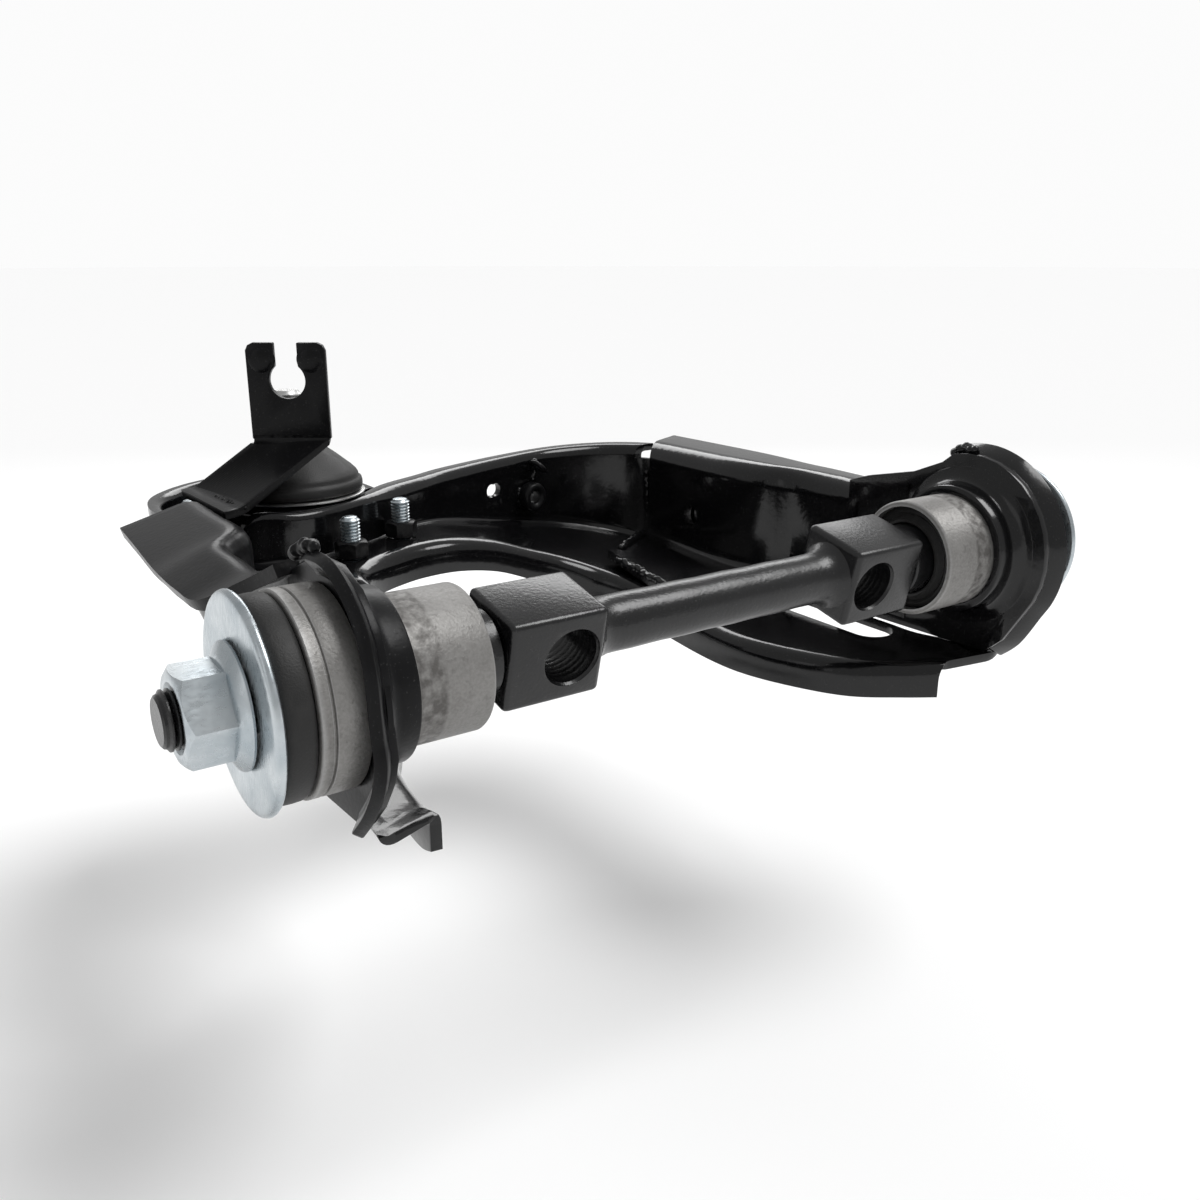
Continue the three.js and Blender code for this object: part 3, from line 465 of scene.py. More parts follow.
def crossShaft(size):
    inner, outer = size["blockX"]
    rodEnd = [[-inner - 0.2, 0], [-inner - 0.2, 12.4], [-inner, 12.2], [-inner + 1.4, 11],
              [-inner + 3, 9.9], [-inner + size["flare"], size["rod"] + 0.1],
              [-inner + size["flare"] + 3, size["rod"]]]
    profile = rodEnd + [[x, size["rod"] + 0.12 * math.sin(x * 0.31)] for x in range(-36, 37, 6)]
    profile += [[-x, r] for x, r in reversed(rodEnd)]
    bms = [spun(profile, "x", steps=72)]
    for side in ends.values():
        tip = size["half"]
        run = [[outer - 1, 0], [outer - 1, size["journal"] + 3], [outer + 0.4, size["journal"] + 2.4],
               [outer + 1, size["journal"]], [157, size["journal"]]]
        run += threads(157.5, tip - 1.2, size["journal"], 1.5, 0.9)
        run += [[tip - 0.5, size["journal"] - 1.1], [tip, size["journal"] - 1.8], [tip, 0]]
        bms.append(atSide(spun(run, "x", steps=64), side))
    shape = tempObject(fused(*bms))
    for side in ends.values():
        lug = block((inner, -size["halfDepth"], -size["halfHeight"]),
                    (outer, size["halfDepth"], size["halfHeight"]))
        bmesh.ops.bevel(lug, geom=lug.edges[:], offset=size["edge"], offset_type="OFFSET",
                        segments=4, profile=0.5, affect="EDGES", clamp_overlap=True, material=-1)
        turn = Matrix.Rotation(math.radians(size["tilt"]), 3, "X")
        reach = size["halfDepth"]
        hole = [[-reach - 2, 0], [-reach - 2, 10.4], [-reach + 0.3, size["hole"] + 0.5],
                [-reach + 1, size["hole"]]]
        hole += threads(-reach + 3, reach - 3, size["hole"], 1.9, 0.14)
        hole += [[reach - 1, size["hole"]], [reach - 0.3, size["hole"] + 0.5], [reach + 2, 10.4],
                 [reach + 2, 0]]
        drill = spun(hole, "z", steps=64)
        bmesh.ops.rotate(drill, verts=drill.verts, cent=(0, 0, 0), matrix=Matrix.Rotation(-math.pi / 2, 3, "X"))
        bmesh.ops.translate(drill, verts=drill.verts, vec=(size["holeX"], 0, 0))
        for bm in (lug, drill):
            bmesh.ops.rotate(bm, verts=bm.verts, cent=(0, 0, 0), matrix=turn)
            atSide(bm, side)
        piece = carved(tempObject(lug), [drill])
        merged = bmesh.new()
        merged.from_mesh(shape.data)
        merged.from_mesh(piece.data)
        merged.to_mesh(shape.data)
        merged.free()
        bpy.data.objects.remove(piece)
    finished("crossShaft", shape, forgedBlack, "shaft", ["pivot_shaft"], crease=30)


crossShaft(shaftSize)
print("cross shaft made")


# bushes and what is clamped on the shaft's ends

bushSize = {
    "smallEnd": 94.1, "small": 21.7, "large": 28.3, "wall": 2, "end": 146.6, "step": 133,
    "inner": 13, "bore": 8.3, "thrust": 28, "thrustEnd": 155.2, "washer": (155.5, 158.3, 30)}


def bushPieces(end, side, size):
    small, large, wall = size["small"], size["large"], size["wall"]
    first, step, last = size["smallEnd"], size["step"], size["end"]
    sleeve = [
        [first, small - wall], [first, small - 0.9], [first + 0.25, small - 0.35], [first + 0.9, small],
        [step - 0.6, small], [step, small + 0.6], [step, large - 0.9], [step + 0.3, large - 0.3],
        [step + 1, large], [last - 4.6, large], [last - 4.3, large - 0.15], [last - 4.0, large - 0.8],
        [last - 3.6, large - 0.8], [last - 3.3, large - 0.1], [last - 3.0, large], [last - 0.5, large],
        [last - 0.15, large - 0.3], [last, large - 0.8], [last, large - wall],
        [step + wall, large - wall], [step + wall, small - wall]]
    finished(end + "OuterSleeve", atSide(spun(sleeve, "x"), side), greySleeve, "arm", [end + "_outer_sleeve"])
    core = size["inner"] + 0.3
    innerR, outerR = small - wall - 0.1, large - wall - 0.1
    rubber = [
        [first + 3.4, innerR], [step + wall, innerR], [step + wall, outerR], [last - 0.3, outerR],
        [last - 0.3, core], [first + 1.0, core], [first + 0.5, core + 0.5], [first + 0.5, core + 1.4],
        [first + 1.8, core + 2.0], [first + 2.9, core + 3.0], [first + 2.4, core + 3.6],
        [first + 1.9, core + 4.2], [first + 2.4, core + 4.9], [first + 3.1, innerR - 0.5]]
    finished(end + "BushRubber", atSide(spun(rubber, "x"), side), blackRubber, "arm", [end + "_bush_rubber"])
    thrust = [
        [last + 0.3, core], [last + 0.3, size["thrust"] - 1.2], [last + 0.8, size["thrust"] - 0.5],
        [last + 1.8, size["thrust"] - 0.1], [last + 4, size["thrust"]], [last + 6.3, size["thrust"] - 0.1],
        [last + 7.6, size["thrust"] - 0.5], [size["thrustEnd"], size["thrust"] - 1.2],
        [size["thrustEnd"], core]]
    finished(end + "ThrustRing", atSide(spun(thrust, "x"), side), blackRubber, "arm", [end + "_thrust_ring"])
    start = shaftSize["blockX"][1] + 0.3
    bore = size["bore"]
    tube = [[start, bore + 0.5], [start + 0.4, bore], [size["thrustEnd"] - 0.1, bore],
            [size["thrustEnd"] - 0.1, size["inner"]], [start + 0.8, size["inner"]],
            [start + 0.2, size["inner"] - 0.5], [start, size["inner"] - 1]]
    # the inner sleeve shows only in the narrow gap between the shaft's block and the bush; its black forged
    # paint is painted shade that makes that gap read dark
    finished(end + "InnerSleeve", atSide(spun(tube, "x"), side), forgedBlack, "shaft", [end + "_inner_sleeve"])
    low, high, rim = size["washer"]
    dish = [
        [low, bore], [low, rim - 0.9], [low + 0.25, rim - 0.35], [low + 0.8, rim], [high - 1.5, rim],
        [high - 0.8, rim - 0.25], [high - 0.35, rim - 0.8], [high - 0.1, rim - 1.6], [high, rim - 2.6],
        [high, bore + 0.4], [high - 0.3, bore]]
    finished(end + "EndWasher", atSide(spun(dish, "x", steps=128), side), zinc, "shaft", [end + "_end_washer"])


def hexPrism(across, low, high, chamfer, axis, centre=(0, 0, 0), turn=0.0):
    bm = bmesh.new()
    bmesh.ops.create_cone(bm, cap_ends=True, segments=6, radius1=across / math.sqrt(3),
                          radius2=across / math.sqrt(3), depth=high - low)
    if axis == "x":
        bmesh.ops.rotate(bm, verts=bm.verts, cent=(0, 0, 0), matrix=Matrix.Rotation(math.pi / 2, 3, "Y"))
    spinAxis = axis.upper()
    bmesh.ops.rotate(bm, verts=bm.verts, cent=(0, 0, 0), matrix=Matrix.Rotation(turn, 3, spinAxis))
    along = Vector((1, 0, 0) if axis == "x" else (0, 0, 1))
    bmesh.ops.translate(bm, verts=bm.verts, vec=Vector(centre) + along * (low + high) / 2)
    corner = across / math.sqrt(3)
    flat = across / 2
    body = [[low, 0], [low, flat if chamfer[0] else corner + 1], [low + chamfer[0], corner + 0.1],
            [high - chamfer[1], corner + 0.1], [high, flat - 0.3], [high, 0]]
    return carved(tempObject(bm), [spun(body, axis, centre, steps=64)], "INTERSECT")


nutSize = {"across": 24, "collar": (158.6, 161.6, 17.3), "top": 174}


def lockNut(end, side, size):
    low, high, rim = size["collar"]
    shape = hexPrism(size["across"], high - 1, size["top"], (0, 1.7), "x")
    foot = [[low, 0], [low, rim - 0.6], [low + 0.3, rim - 0.1], [low + 0.9, rim], [low + 1.5, rim - 0.4],
            [high, 14.2], [high + 0.6, 13.4], [high + 0.6, 0]]
    carved(shape, [spun(foot, "x", steps=96)], "UNION")
    bore = [[low - 1, 0], [low - 1, 9.4], [low + 1, 8.3], [size["top"] - 1.2, 8.3], [size["top"] + 0.1, 9.5],
            [size["top"] + 1, 9.5], [size["top"] + 1, 0]]
    carved(shape, [spun(bore, "x", steps=64)])
    finished(end + "LockNut", atSide(loose(shape), side), zinc, "shaft", [end + "_lock_nut"], bevel=0.35)


for end, side in ends.items():
    bushPieces(end, side, bushSize)
    lockNut(end, side, nutSize)
print("bushes, washers and nuts made")


# arm pressing: [inner edge, outer corner, rim height, lip width] round the horseshoe

rim = 10.5
pressingSize = {"sheet": 3.5, "bend": 7, "lip": 8.5, "drop": 12, "ledge": -8.5, "padR": 30, "padTop": 12.5}
rearLeg = [
    [(106, -11, -43), (137, -16, -43)], [(94, -3, -43), (132, 1, -43)], [(79, 9, -43), (126, 17, -43)],
    [(69, 27, -43), (126, 34, -43)], [(62, 49, -43), (126, 54, -43)], [(61, 71, -43), (126, 76, -43)],
    [(62, 100, -41.5), (126, 106, -43)], [(62, 122, -38.5), (126, 140, -43)],
    [(58, 136, -36), (126, 174, -42.5)], [(51, 146, -33), (124, 199, -41)],
    [(42, 151, -29), (106, 216, -36)], [(32, 153, -25), (76, 221, -29)], [(20, 153, -20.5), (40, 212, -22)],
    [(2, 151, -13.5), (4, 197.5, -13.5)], [(-18, 148, -9.4), (-15, 187, -9.6), rim, 9],
    [(-36, 145, -8.5), (-36, 175.5, -8.5), rim, 9], [(-50, 140, -8.5), (-53, 164.5, -8.5), rim, 4]]
frontLeg = [
    [(-62, 133, -8.5), (-70, 155.5, -8.5), rim, 3], [(-71, 124, -8.5), (-86, 151.5, -8.5), rim, 3],
    [(-74, 113, -9), (-101, 156, -8.5), rim, 3], [(-74, 107, -11), (-112, 160, -8.5), -4, 1],
    [(-74, 99, -16), (-126, 156, -18)], [(-75, 90, -24), (-126, 132, -31)],
    [(-78, 80, -34), (-126, 104, -40)], [(-84, 68, -41), (-126, 80, -43)], [(-93, 52, -43), (-126, 56, -43)],
    [(-102, 34, -43), (-126, 34, -43)], [(-107, 16, -43), (-126, 14, -43)],
    [(-109, -2, -43), (-126, -4, -43)], [(-110, -12, -40), (-127, -15, -43)]]
panWall = [(-44.5, 181), (-45, 192), (-46, 204), (-51, 218), (-61, 232), (-80, 241.5), (-103, 233),
           (-121, 215), (-128, 194), (-127, 174), (-126, 158)]
panFront = [(-112, 161), (-101, 156), (-86, 151.5), (-70, 155.5), (-53, 164.5), (-44.5, 170)]
ball = Vector((-74, 187, -2))
boltLine = Vector((math.cos(math.radians(33)), math.sin(math.radians(33)), 0))
boltAcross = Vector((-boltLine.y, boltLine.x, 0))
jointBolts = [ball + boltAcross * (40 * a) + boltLine * (18.5 * b)
              for a, b in ((-1, -1), (-1, 1), (1, -1), (1, 1))]
wallOut = Vector((-0.217, 0.976, 0))
weldNutAt = Vector((57.7, 217, -9.6))
drainAt = Vector((33, 211, -2.6))


def pressingRow(inner, outer, rimZ=rim, lip=pressingSize["lip"]):
    inner, outer = Vector(inner), Vector(outer)
    away = Vector((outer.x - inner.x, outer.y - inner.y, 0)).normalized()
    foot = inner - Vector((0, 0, pressingSize["drop"]))
    top = Vector((outer.x, outer.y, rimZ))
    middle = inner.lerp(outer, 0.5)
    wall = outer.lerp(top, 0.5)
    first = eased([foot, inner, middle], 6, 6)
    second = eased([middle, outer, wall], pressingSize["bend"], 8)
    third = eased([wall, top, top + away * lip], 5.5, 6)
    return first + second[1:] + third[1:]


def armPressing(size):
    rows = flowing([pressingRow(*station) for station in rearLeg + frontLeg], 5)
    shape = sheet(rows, size["sheet"])
    capsule = [(114 + x, 79 + y) for x, y in arc(9, 0, math.pi, 16)]
    capsule += [(114 + x, 31 + y) for x, y in arc(9, math.pi, 2 * math.pi, 16)]
    cutters = [slab(capsule, -49, -37)]
    for side in ends.values():
        cutters.append(atSide(block((90, -68, -41), (150, 112, 39)), side))
    cutters.append(block((112, 90, rim - 5), (160, 205, rim + 10)))
    for shift in (-1.7, 1.7):
        at = drainAt + Vector((shift, 0, 0))
        cutters.append(rod(3.3, at - wallOut * 8, at + wallOut * 8))
    cutters.append(rod(4.2, weldNutAt - wallOut * 8, weldNutAt + wallOut * 8))
    cutters.append(rod(5, (108, 157, -17), (132, 157, -17)))
    cutters += [rod(4.5, (at.x, at.y, -17), (at.x, at.y, 0)) for at in jointBolts]
    cutters.append(rod(25, (ball.x, ball.y, -30), (ball.x, ball.y, 5)))
    carved(shape, cutters)
    finished("armPressing", shape, glossBlack, "arm", ["arm_pressing"], bevel=0.7)
    ledge, half = size["ledge"], size["sheet"] / 2
    middle = Vector((-82, 196, 0))
    wallRows = []
    for x, y in panWall:
        inward = (middle - Vector((x, y, 0))).normalized()
        points = [Vector((x, y, z)) + inward * reach
                  for reach, z in ((9, ledge), (0, ledge), (0, rim), (-4, rim))]
        wallRows.append(eased(points, 5, 6))
    finished("noseWall", sheet(flowing(wallRows, 6), size["sheet"]), glossBlack, "arm", bevel=0.6)
    floor = tempObject(slab(panWall + panFront, ledge - half, ledge + half))
    holes = [rod(27.5, (ball.x, ball.y, -30), (ball.x, ball.y, 30))]
    holes += [rod(4.5, (at.x, at.y, -17), (at.x, at.y, 0)) for at in jointBolts]
    finished("noseFloor", carved(floor, holes), glossBlack, "arm", bevel=0.3)
    top, reach = size["padTop"], size["padR"]
    pad = [[top - 3.5, 25.3], [top - 0.6, 25.2], [top, 25.8], [top, reach - 4], [top - 0.5, reach - 1.8],
           [top - 1.8, reach - 0.5], [top - 4, reach], [ledge + 5, reach], [ledge + 3, reach + 0.6],
           [ledge + 1.9, reach + 2.4], [ledge + 1.4, reach + 4], [ledge - 1.6, reach + 1],
           [ledge - 1.6, reach - 3.5], [top - 5, reach - 3.6], [top - 3.5, reach - 4.6]]
    finished("jointPad", spun(pad, "z", (ball.x, ball.y, 0), steps=96), glossBlack, "arm", crease=50)


armPressing(pressingSize)
print("arm pressing made")


# eye brackets. rows: [y, wall x, crown z, roof edge x, roof edge z, wall foot z, web end z]
# edge: the outline of the eye's flared rim and its gusset, as (y, z); lip: how far the rim stands out

brackets = {
    "rear": {
        "finish": glossBlack, "wallEnd": 198, "lip": 7.8,
        "edge": [(38 * math.cos(a * 0.06 * math.pi), 38 * math.sin(a * 0.06 * math.pi)) for a in range(7, 21)]
                + [(-22.9, -35.2), (-15, -42.5)],
        "roofEnd": [(151, 213.6), (112, 188), (90, 188), (90, 260), (170, 260), (170, 213.6)],
        "rows": [[26, 130.7, 24, 136, 22, -37, -37], [40, 130.7, 18, 141, 15, -37, -37],
                 [58, 130.7, 14, 147, 12, -37, -37], [76, 130.7, 13.5, 150, 11.5, -37, -37],
                 [94, 128.7, 13.5, 151, 11.5, -38, -36.5], [110, 122.5, 14, 151, 11.5, -38, -36],
                 [132, 120, 14, 151, 12, -38, -32.5], [158, 120, 13.5, 151, 12, -37.5, -28],
                 [216, 120, 13, 151, 11.5, -34, -24]]},
    "front": {
        "finish": satinBlack, "wallEnd": 150, "lip": 3.9,
        "edge": [(7, 35.2), (-6, 35.8), (-17.6, 31.6), (-26.6, 23.8), (-30.2, 17), (-31.8, 10.6), (-32.6, 2),
                 (-33.4, -4.9), (-34.4, -11), (-31.5, -19), (-24, -29.5), (-15, -38.5)],
        "roofEnd": [(154, 158), (100, 158), (100, 170), (170, 170), (170, 158)],
        "rows": [[26, 130.7, 27, 137, 26, -37, -37], [40, 130.7, 22, 141, 19, -37, -37],
                 [58, 130.7, 19, 150, 10, -37, -37], [76, 130.7, 19, 152, 9.5, -37, -37],
                 [94, 130.7, 19.5, 152, 9.5, -36, -36.5], [108, 120, 20.5, 152, 10, -33, -30],
                 [132, 120, 20.5, 151, 11, -24, -20], [160, 120, 20.5, 150, 12, -7, -10]]}}


def bracketRow(y, wallX, crownZ, edgeX, edgeZ, footZ, webEndZ):
    points = [(66, y, webEndZ), (wallX, y, footZ), (wallX, y, crownZ), (edgeX, y, edgeZ)]
    return eased(points, 9, 7)


def eyeBracket(end, side, size):
    rows = flowing([bracketRow(*row) for row in size["rows"]], 4)
    channel = sheet(rows, 4)
    diagonal = [(124.5, 199), (74, 157), (40, 150), (40, 240), (160, 240), (160, 199)]
    beyond = [(90, size["wallEnd"]), (134, size["wallEnd"]), (134, 240), (90, 240)]
    cutters = [block((48.3, -60, -64), (128.3, 94, -24)), block((47, 88, -64), (117, 108, -24)),
               slab(diagonal, -60, -20),
               slab(size["roofEnd"], -60, 40), slab(beyond, -60, rim + 1),
               rod(5, (108, 157, -17), (132, 157, -17))]
    if side < 0:
        cutters.append(block((58.5, 90, -60), (118.5, 170, 0)))
    carved(channel, cutters)
    finished(end + "Bracket", atSide(loose(channel), side), size["finish"], "arm", [end + "_eye_bracket"],
             bevel=0.7)
    plateX = 130.7
    outline = [(y * 0.95, z * 0.95) for y, z in size["edge"]]
    outline += [(62, -41.5), (62, 16), (52, 19.5), (28, 25), (14, 31)]
    bore = rod(21.9, (100, 0, 0), (150, 0, 0), 96)
    plate = carved(tempObject(slab(outline, plateX - 2, plateX + 2, "x")), [bore])
    finished(end + "EyePlate", atSide(loose(plate), side), size["finish"], "arm", bevel=0.6)
    toe = plateX + size["lip"]
    rows = []
    for y, z in size["edge"]:
        inward = 1 - 9 / math.hypot(y, z)
        near, half = (y * inward, z * inward), (y * (inward + 1) / 2, z * (inward + 1) / 2)
        rows.append(eased([(plateX - 0.6, *near), (plateX + 0.4, *half), (toe, y, z)], 4, 6))
    flare = sheet(flowing(rows, 5), 3.6)
    finished(end + "EyeLip", atSide(loose(flare), side), size["finish"], "arm", bevel=0.6)
    collar = [[118, 22], [118, 24.2], [118.25, 24.75], [118.8, 25], [123.6, 25], [125.2, 25.25],
              [126.6, 26.1], [127.6, 27.5], [128.2, 29.2], [128.5, 31], [129.2, 31.6], [130.7, 31.6],
              [130.7, 22]]
    finished(end + "Collar", atSide(spun(collar, "x"), side), size["finish"], "arm")


for end, side in ends.items():
    eyeBracket(end, side, brackets[end])
print("eye brackets made")


# hose bracket

hose = {"middle": Vector((-81.3, 163, 0)), "bendZ": 38.7, "topZ": 77, "width": 31, "sheet": 3,
        "turn": math.radians(-34.8), "holeZ": 62.5, "holeR": 7, "slot": 9}


def hoseBracket(size):
    half, slot = size["width"] / 2, size["slot"] / 2
    meet = math.asin(slot / size["holeR"])
    outline = [(-half, size["bendZ"] + 1), (half, size["bendZ"] + 1), (half, size["topZ"] - 3),
               (half - 1, size["topZ"] - 1), (half - 3, size["topZ"]), (slot, size["topZ"])]
    ring = arc(size["holeR"], math.pi / 2 - meet, math.pi / 2 + meet - 2 * math.pi, 40)
    outline += [(x, size["holeZ"] + z) for x, z in ring]
    outline += [(-slot, size["topZ"]), (-half + 3, size["topZ"]), (-half + 1, size["topZ"] - 1),
                (-half, size["topZ"] - 3)]
    upright = slab(outline, -size["sheet"] / 2, size["sheet"] / 2)
    bosses = [spun([[-1.4, 0], [-1.4, 5.6], [-0.4, 5.4], [0.25, 4.7], [0.7, 3.4], [0.9, 0]], "z",
                   (x, size["topZ"] - 6.5, size["sheet"] / 2), steps=40) for x in (-9.6, 9.6)]
    whole = fused(upright, *bosses)
    stand = Matrix.Rotation(size["turn"], 3, "Z") @ Matrix.Rotation(math.pi / 2, 3, "X")
    bmesh.ops.rotate(whole, verts=whole.verts, cent=(0, 0, 0), matrix=stand)
    bmesh.ops.translate(whole, verts=whole.verts, vec=size["middle"])
    finished("hoseUpright", whole, satinBlack, "arm", ["hose_bracket"], bevel=0.5)
    across = Vector((math.cos(size["turn"]), math.sin(size["turn"]), 0)) * size["width"]
    rows = []
    for step in range(25):
        t = step / 24
        runs = []
        for share, root, toe in ((0.48, (-107, 152, 15.4), (-114, 151, 14.8)),
                                 (-0.48, (-110.5, 203, 15.4), (-116, 204, 14.8))):
            bend = size["middle"] + across * share + Vector((0, 0, size["bendZ"]))
            runs.append([bend + Vector((0, 0, 2.6)), bend, Vector(root), Vector(toe)])
        rows.append(eased([a.lerp(b, t) for a, b in zip(*runs)], 3.6, 6))
    finished("hoseFoot", sheet(rows, size["sheet"]), satinBlack, "arm", bevel=0.5)


hoseBracket(hose)
print("hose bracket made")


# ball joint

def turned(name, profile, finish, body, nodes=(), steps=80, crease=38):
    shape = spun([[z, r] for r, z in profile], "z", (ball.x, ball.y, 0), steps=steps)
    return finished(name, shape, finish, body, nodes, crease=crease)


def ballJoint():
    housing = [(20, -19), (23.4, -19), (24, -18.4), (24, 11.3), (23.2, 12.4), (15, 12.4), (15, 8),
               (17.5, 5), (17.5, -14), (20, -14)]
    body = spun([[z, r] for r, z in housing], "z", (ball.x, ball.y, 0))
    reach = 40 * 1.26
    corners = []
    for at in (jointBolts[0], jointBolts[1], jointBolts[3], jointBolts[2]):
        away = Vector((at.x - ball.x, at.y - ball.y)).normalized() * reach
        corners.append((ball.x + away.x, ball.y + away.y))
    plate = tempObject(slab(corners, -16.85, -10.85))
    drills = [rod(20, (ball.x, ball.y, -40), (ball.x, ball.y, 20))]
    drills += [rod(4.3, (at.x, at.y, -30), (at.x, at.y, 0)) for at in jointBolts]
    carved(plate, drills)
    bm = loose(plate)
    bmesh.ops.bevel(bm, geom=[e for e in bm.edges if abs((e.verts[0].co - e.verts[1].co).z) > 5.5
                              and e.calc_length() < 6.5 and e.calc_face_angle(0) > 1],
                    offset=7, offset_type="OFFSET", segments=6, profile=0.5, affect="EDGES",
                    clamp_overlap=True, material=-1)
    finished("jointHousing", fused(body, bm), greySleeve, "arm", ["joint_housing"], bevel=0.4)
    turned("jointCap", [(0, -19.8), (17, -19.8), (18.6, -19.4), (19.6, -18.6), (19.6, -14.6), (17.2, -14.6),
                        (17.2, -17.5), (0, -17.5)], greySleeve, "arm", ["joint_cap"])
    bowl = [(13.5 * math.cos(a / 20), -2 + 13.5 * math.sin(a / 20)) for a in range(-20, 13)]
    turned("ballSeat", [(bowl[0][0], -14.3), *bowl, (bowl[-1][0], 7.4), (14.7, 7.4), (17.2, 4.6),
                        (17.2, -14.3)],
           seatPlastic, "swivel", ["ball_seat"])
    sphere = [(13 * math.cos(a / 20), -2 + 13 * math.sin(a / 20)) for a in range(-31, 19)]
    shank = [(8, 9.3), (8, 14), (9.4, 22), (9.6, 24), (9.6, 31), (7.4, 42.4), (6.6, 43.4), (5.2, 43.8)]
    shank += [(r, z) for z, r in threads(44, 55, 5.9, 1.25, 0.75)] + [(4.6, 56), (0, 56)]
    stud = spun([[z, r] for r, z in [(0, -15)] + sphere + shank], "z", (ball.x, ball.y, 0), steps=72)
    pin = Vector((9, 13, 0))
    centre = Vector((ball.x, ball.y, 52))
    shape = carved(tempObject(stud), [rod(1.5, centre - pin, centre + pin, 24)])
    finished("ballStud", shape, machined, "stud", ["ball_stud"], crease=32)
    outside = [(27.2, 14.2), (28.2, 14.9), (28.5, 16.2), (28.5, 17.6), (28.2, 18.8), (27.4, 19.3), (26.9, 19.9),
               (26.9, 20.8), (26.2, 22), (24.4, 23.8), (21.6, 26.1), (18.6, 28.6), (16.2, 30.4), (14.6, 31.6),
               (13.4, 32.6), (12.7, 33.6), (12.5, 34.6), (12.5, 35.6), (12.1, 36)]
    inside = [(10.3, 36), (10.1, 35), (10.4, 32.6), (13, 29.4), (17, 26.2), (21.5, 22.6), (24.6, 19.6),
              (25.6, 17), (25.4, 14.2)]
    boot = turned("dustBoot", outside + inside, blackRubber, None, ["dust_boot"], steps=96, crease=60)
    return boot


def bootRings():
    ring = [(25.2, 12.8), (28.8, 12.8), (29.3, 13.1), (29.3, 13.6), (28.8, 13.9), (25.2, 13.9)]
    turned("bootRing", ring, machined, "arm", ["boot_ring"])
    neck = [(12.6 + 0.75 * math.cos(a * math.pi / 6), 34.6 + 0.75 * math.sin(a * math.pi / 6))
            for a in range(12)]
    turned("bootNeckRing", neck, machined, "stud", ["boot_neck_ring"])


def jointFasteners():
    for index, at in enumerate(jointBolts, 1):
        place = (at.x, at.y, 0)
        head = hexPrism(12, -22.45, -17.15, (1.1, 0), "z", place, 0.3 * index)
        shank = [[-17.3, 0], [-17.3, 3.9], [-8, 3.9]] + threads(-8, 9.2, 3.95, 1.25, 0.75)
        shank += [[9.8, 2.9], [10, 2.4], [10, 0]]
        bolt = fused(loose(head), spun(shank, "z", place, steps=40))
        finished(f"jointBolt{index}", bolt, zinc, "arm", [f"joint_bolt_{index}"], crease=30)
        nut = hexPrism(12, -6.15, 0.25, (0.5, 1.0), "z", place, 0.4 + 0.5 * index)
        carved(nut, [rod(4.15, (at.x, at.y, -20), (at.x, at.y, 20), 40)])
        finished(f"jointNut{index}", nut, satinBlack, "arm", [f"joint_nut_{index}"], bevel=0.15)


boot = ballJoint()
bootRings()
jointFasteners()
print("ball joint made")


# weld nut, wire loop and weld beads

def wallFittings():
    inward = -wallOut
    face = weldNutAt + inward * 1.9
    nut = [[0, 3.4], [0, 7.2], [0.5, 7.4], [4.6, 7.4], [5.4, 7.1], [6, 6.3], [6.2, 5.2], [5.8, 4.3], [5, 3.4]]
    bm = spun(nut, "z", steps=56)
    turn = inward.to_track_quat("Z", "Y").to_matrix()
    bmesh.ops.rotate(bm, verts=bm.verts, cent=(0, 0, 0), matrix=turn)
    bmesh.ops.translate(bm, verts=bm.verts, vec=face)
    finished("weldNut", bm, satinBlack, "arm", ["weld_nut"])
    root = Vector((60.5, 218.6, 6)) + inward * 7
    wire = [(3.6 + 1.25 * math.cos(a * math.pi / 8), 1.25 * math.sin(a * math.pi / 8)) for a in range(16)]
    ring = spun([[z, r] for r, z in wire], "z", steps=40)
    bmesh.ops.rotate(ring, verts=ring.verts, cent=(0, 0, 0), matrix=Matrix.Rotation(0.7, 3, "Y"))
    bmesh.ops.translate(ring, verts=ring.verts, vec=root)
    finished("wireLoop", ring, satinBlack, "arm", ["wire_loop"])
    weldBead("nutTackLeft", [(52, 214.5, -6), (52.5, 214.4, -14)], 1.6)
    weldBead("nutTackRight", [(63.5, 217, -14), (64, 217.2, -6)], 1.6)
    weldBead("loopTack", [(61.5, 216.5, -3), (62, 216, 3), (62, 215, 8)], 1.7)


def bracketWelds():
    runs = {
        "rearWebWeld": [(76, 158, -27.2), (92, 172, -29), (112, 189, -31.4)],
        "rearWebEndWeld": [(66.5, 147, -29.6), (66.5, 128, -31), (66.5, 112, -33)],
        "rearPeakWeld": [(132, 2, 37.4), (133.5, 8, 37), (134, 13, 34)],
        "rearToeWeld": [(124, 200, -30), (122.6, 200, -16), (122.2, 199, -2)],
        "frontPeakWeld": [(-133, 4, 37.2), (-134, 10, 36.4), (-134.5, 16, 33)],
        "frontRoofWeld": [(-128, 26, 26), (-127, 36, 22.4), (-126, 48, 19.4)],
        "hoseFootWeld": [(-106, 153, 16.4), (-108, 164, 16.6), (-109, 178, 16.6)]}
    for name, path in runs.items():
        onHose = "hose" in name
        weldBead(name, path, 1.2 if onHose else 1.9, satinBlack if onHose or "front" in name else glossBlack)


wallFittings()
bracketWelds()
print("fittings and welds made")

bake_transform(boot)


# floor, light and camera

studio = {
    "floorZ": -0.165, "floorR": 20, "floorShade": 0.93,
    "sunFrom": (0.45, -0.25, 0.85), "sunPower": 2.0, "sunAngle": 32, "sky": 0.5, "backdrop": 0.97,
    "aim": (0, 0.08, 0), "back": ((0.45, 0.8, 0.5), (0.9, 0.25), 3),
    "left": ((-0.85, -0.1, 0.35), (0.35, 0.5), 0.25)}
view = {"at": (-232.3, -271.6, 111.3), "turn": (72.63, 0, -34.53), "sensor": 36, "lens": 33.621, "near": 0.01}


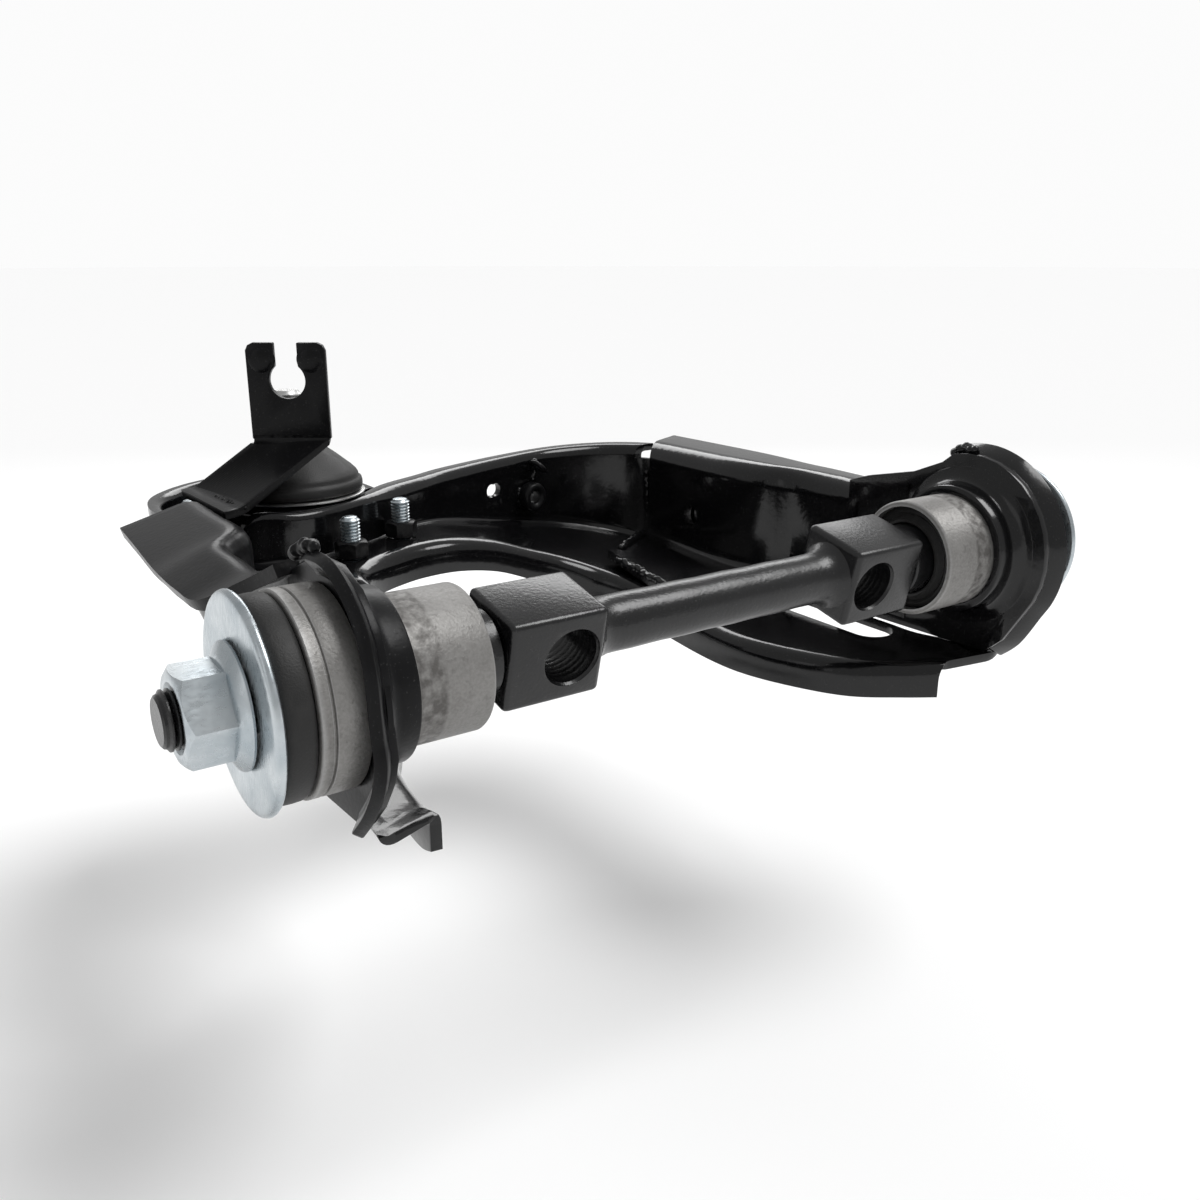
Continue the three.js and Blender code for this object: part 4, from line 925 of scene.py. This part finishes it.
def makeStudio(size):
    bm = bmesh.new()
    bmesh.ops.create_circle(bm, cap_ends=True, segments=96, radius=size["floorR"])
    bmesh.ops.translate(bm, verts=bm.verts, vec=(0, 0, size["floorZ"]))
    mesh = bpy.data.meshes.new("floor")
    bm.to_mesh(mesh)
    bm.free()
    floor = bpy.data.objects.new("floor", mesh)
    bpy.context.collection.objects.link(floor)
    pale = bpy.data.materials.new("paleFloor")
    pale.use_nodes = True
    shader = pale.node_tree.nodes["Principled BSDF"]
    shader.inputs["Base Color"].default_value = rgb(*[size["floorShade"]] * 3)
    shader.inputs["Roughness"].default_value = 0.9
    shader.inputs["Specular IOR Level"].default_value = 0.1
    mesh.materials.append(pale)
    sun = bpy.data.lights.new("sun", "SUN")
    sun.energy = size["sunPower"]
    sun.angle = math.radians(size["sunAngle"])
    key = bpy.data.objects.new("sun", sun)
    key.rotation_euler = (-Vector(size["sunFrom"])).to_track_quat("-Z", "Y").to_euler()
    bpy.context.collection.objects.link(key)
    for name in ("back", "left"):
        at, area, power = size[name]
        data = bpy.data.lights.new(name, "AREA")
        data.shape = "RECTANGLE"
        data.size, data.size_y = area
        data.energy = power
        lamp = bpy.data.objects.new(name, data)
        lamp.location = at
        lamp.rotation_euler = (Vector(size["aim"]) - Vector(at)).to_track_quat("-Z", "Y").to_euler()
        bpy.context.collection.objects.link(lamp)
    world = bpy.data.worlds.new("studio")
    world.use_nodes = True
    background = world.node_tree.nodes["Background"]
    path = Wire(world.node_tree, world.node_tree.nodes.new("ShaderNodeLightPath").outputs["Is Camera Ray"])
    shade = path.blend(rgb(*[size["sky"]] * 3), rgb(*[size["backdrop"]] * 3))
    world.node_tree.links.new(shade.socket, background.inputs["Color"])
    bpy.context.scene.world = world
    bpy.context.scene.view_settings.view_transform = "Standard"
    bpy.context.scene.view_settings.look = "None"


def makeCamera(size):
    data = bpy.data.cameras.new("camera")
    data.sensor_width = size["sensor"]
    data.lens = size["lens"]
    data.clip_start = size["near"]
    camera = bpy.data.objects.new("camera", data)
    camera.location = Vector(size["at"]) * mm
    camera.rotation_euler = [math.radians(angle) for angle in size["turn"]]
    bpy.context.collection.objects.link(camera)
    bpy.context.scene.camera = camera


makeStudio(studio)
makeCamera(view)
bpy.context.view_layer.update()
print("scene ready")
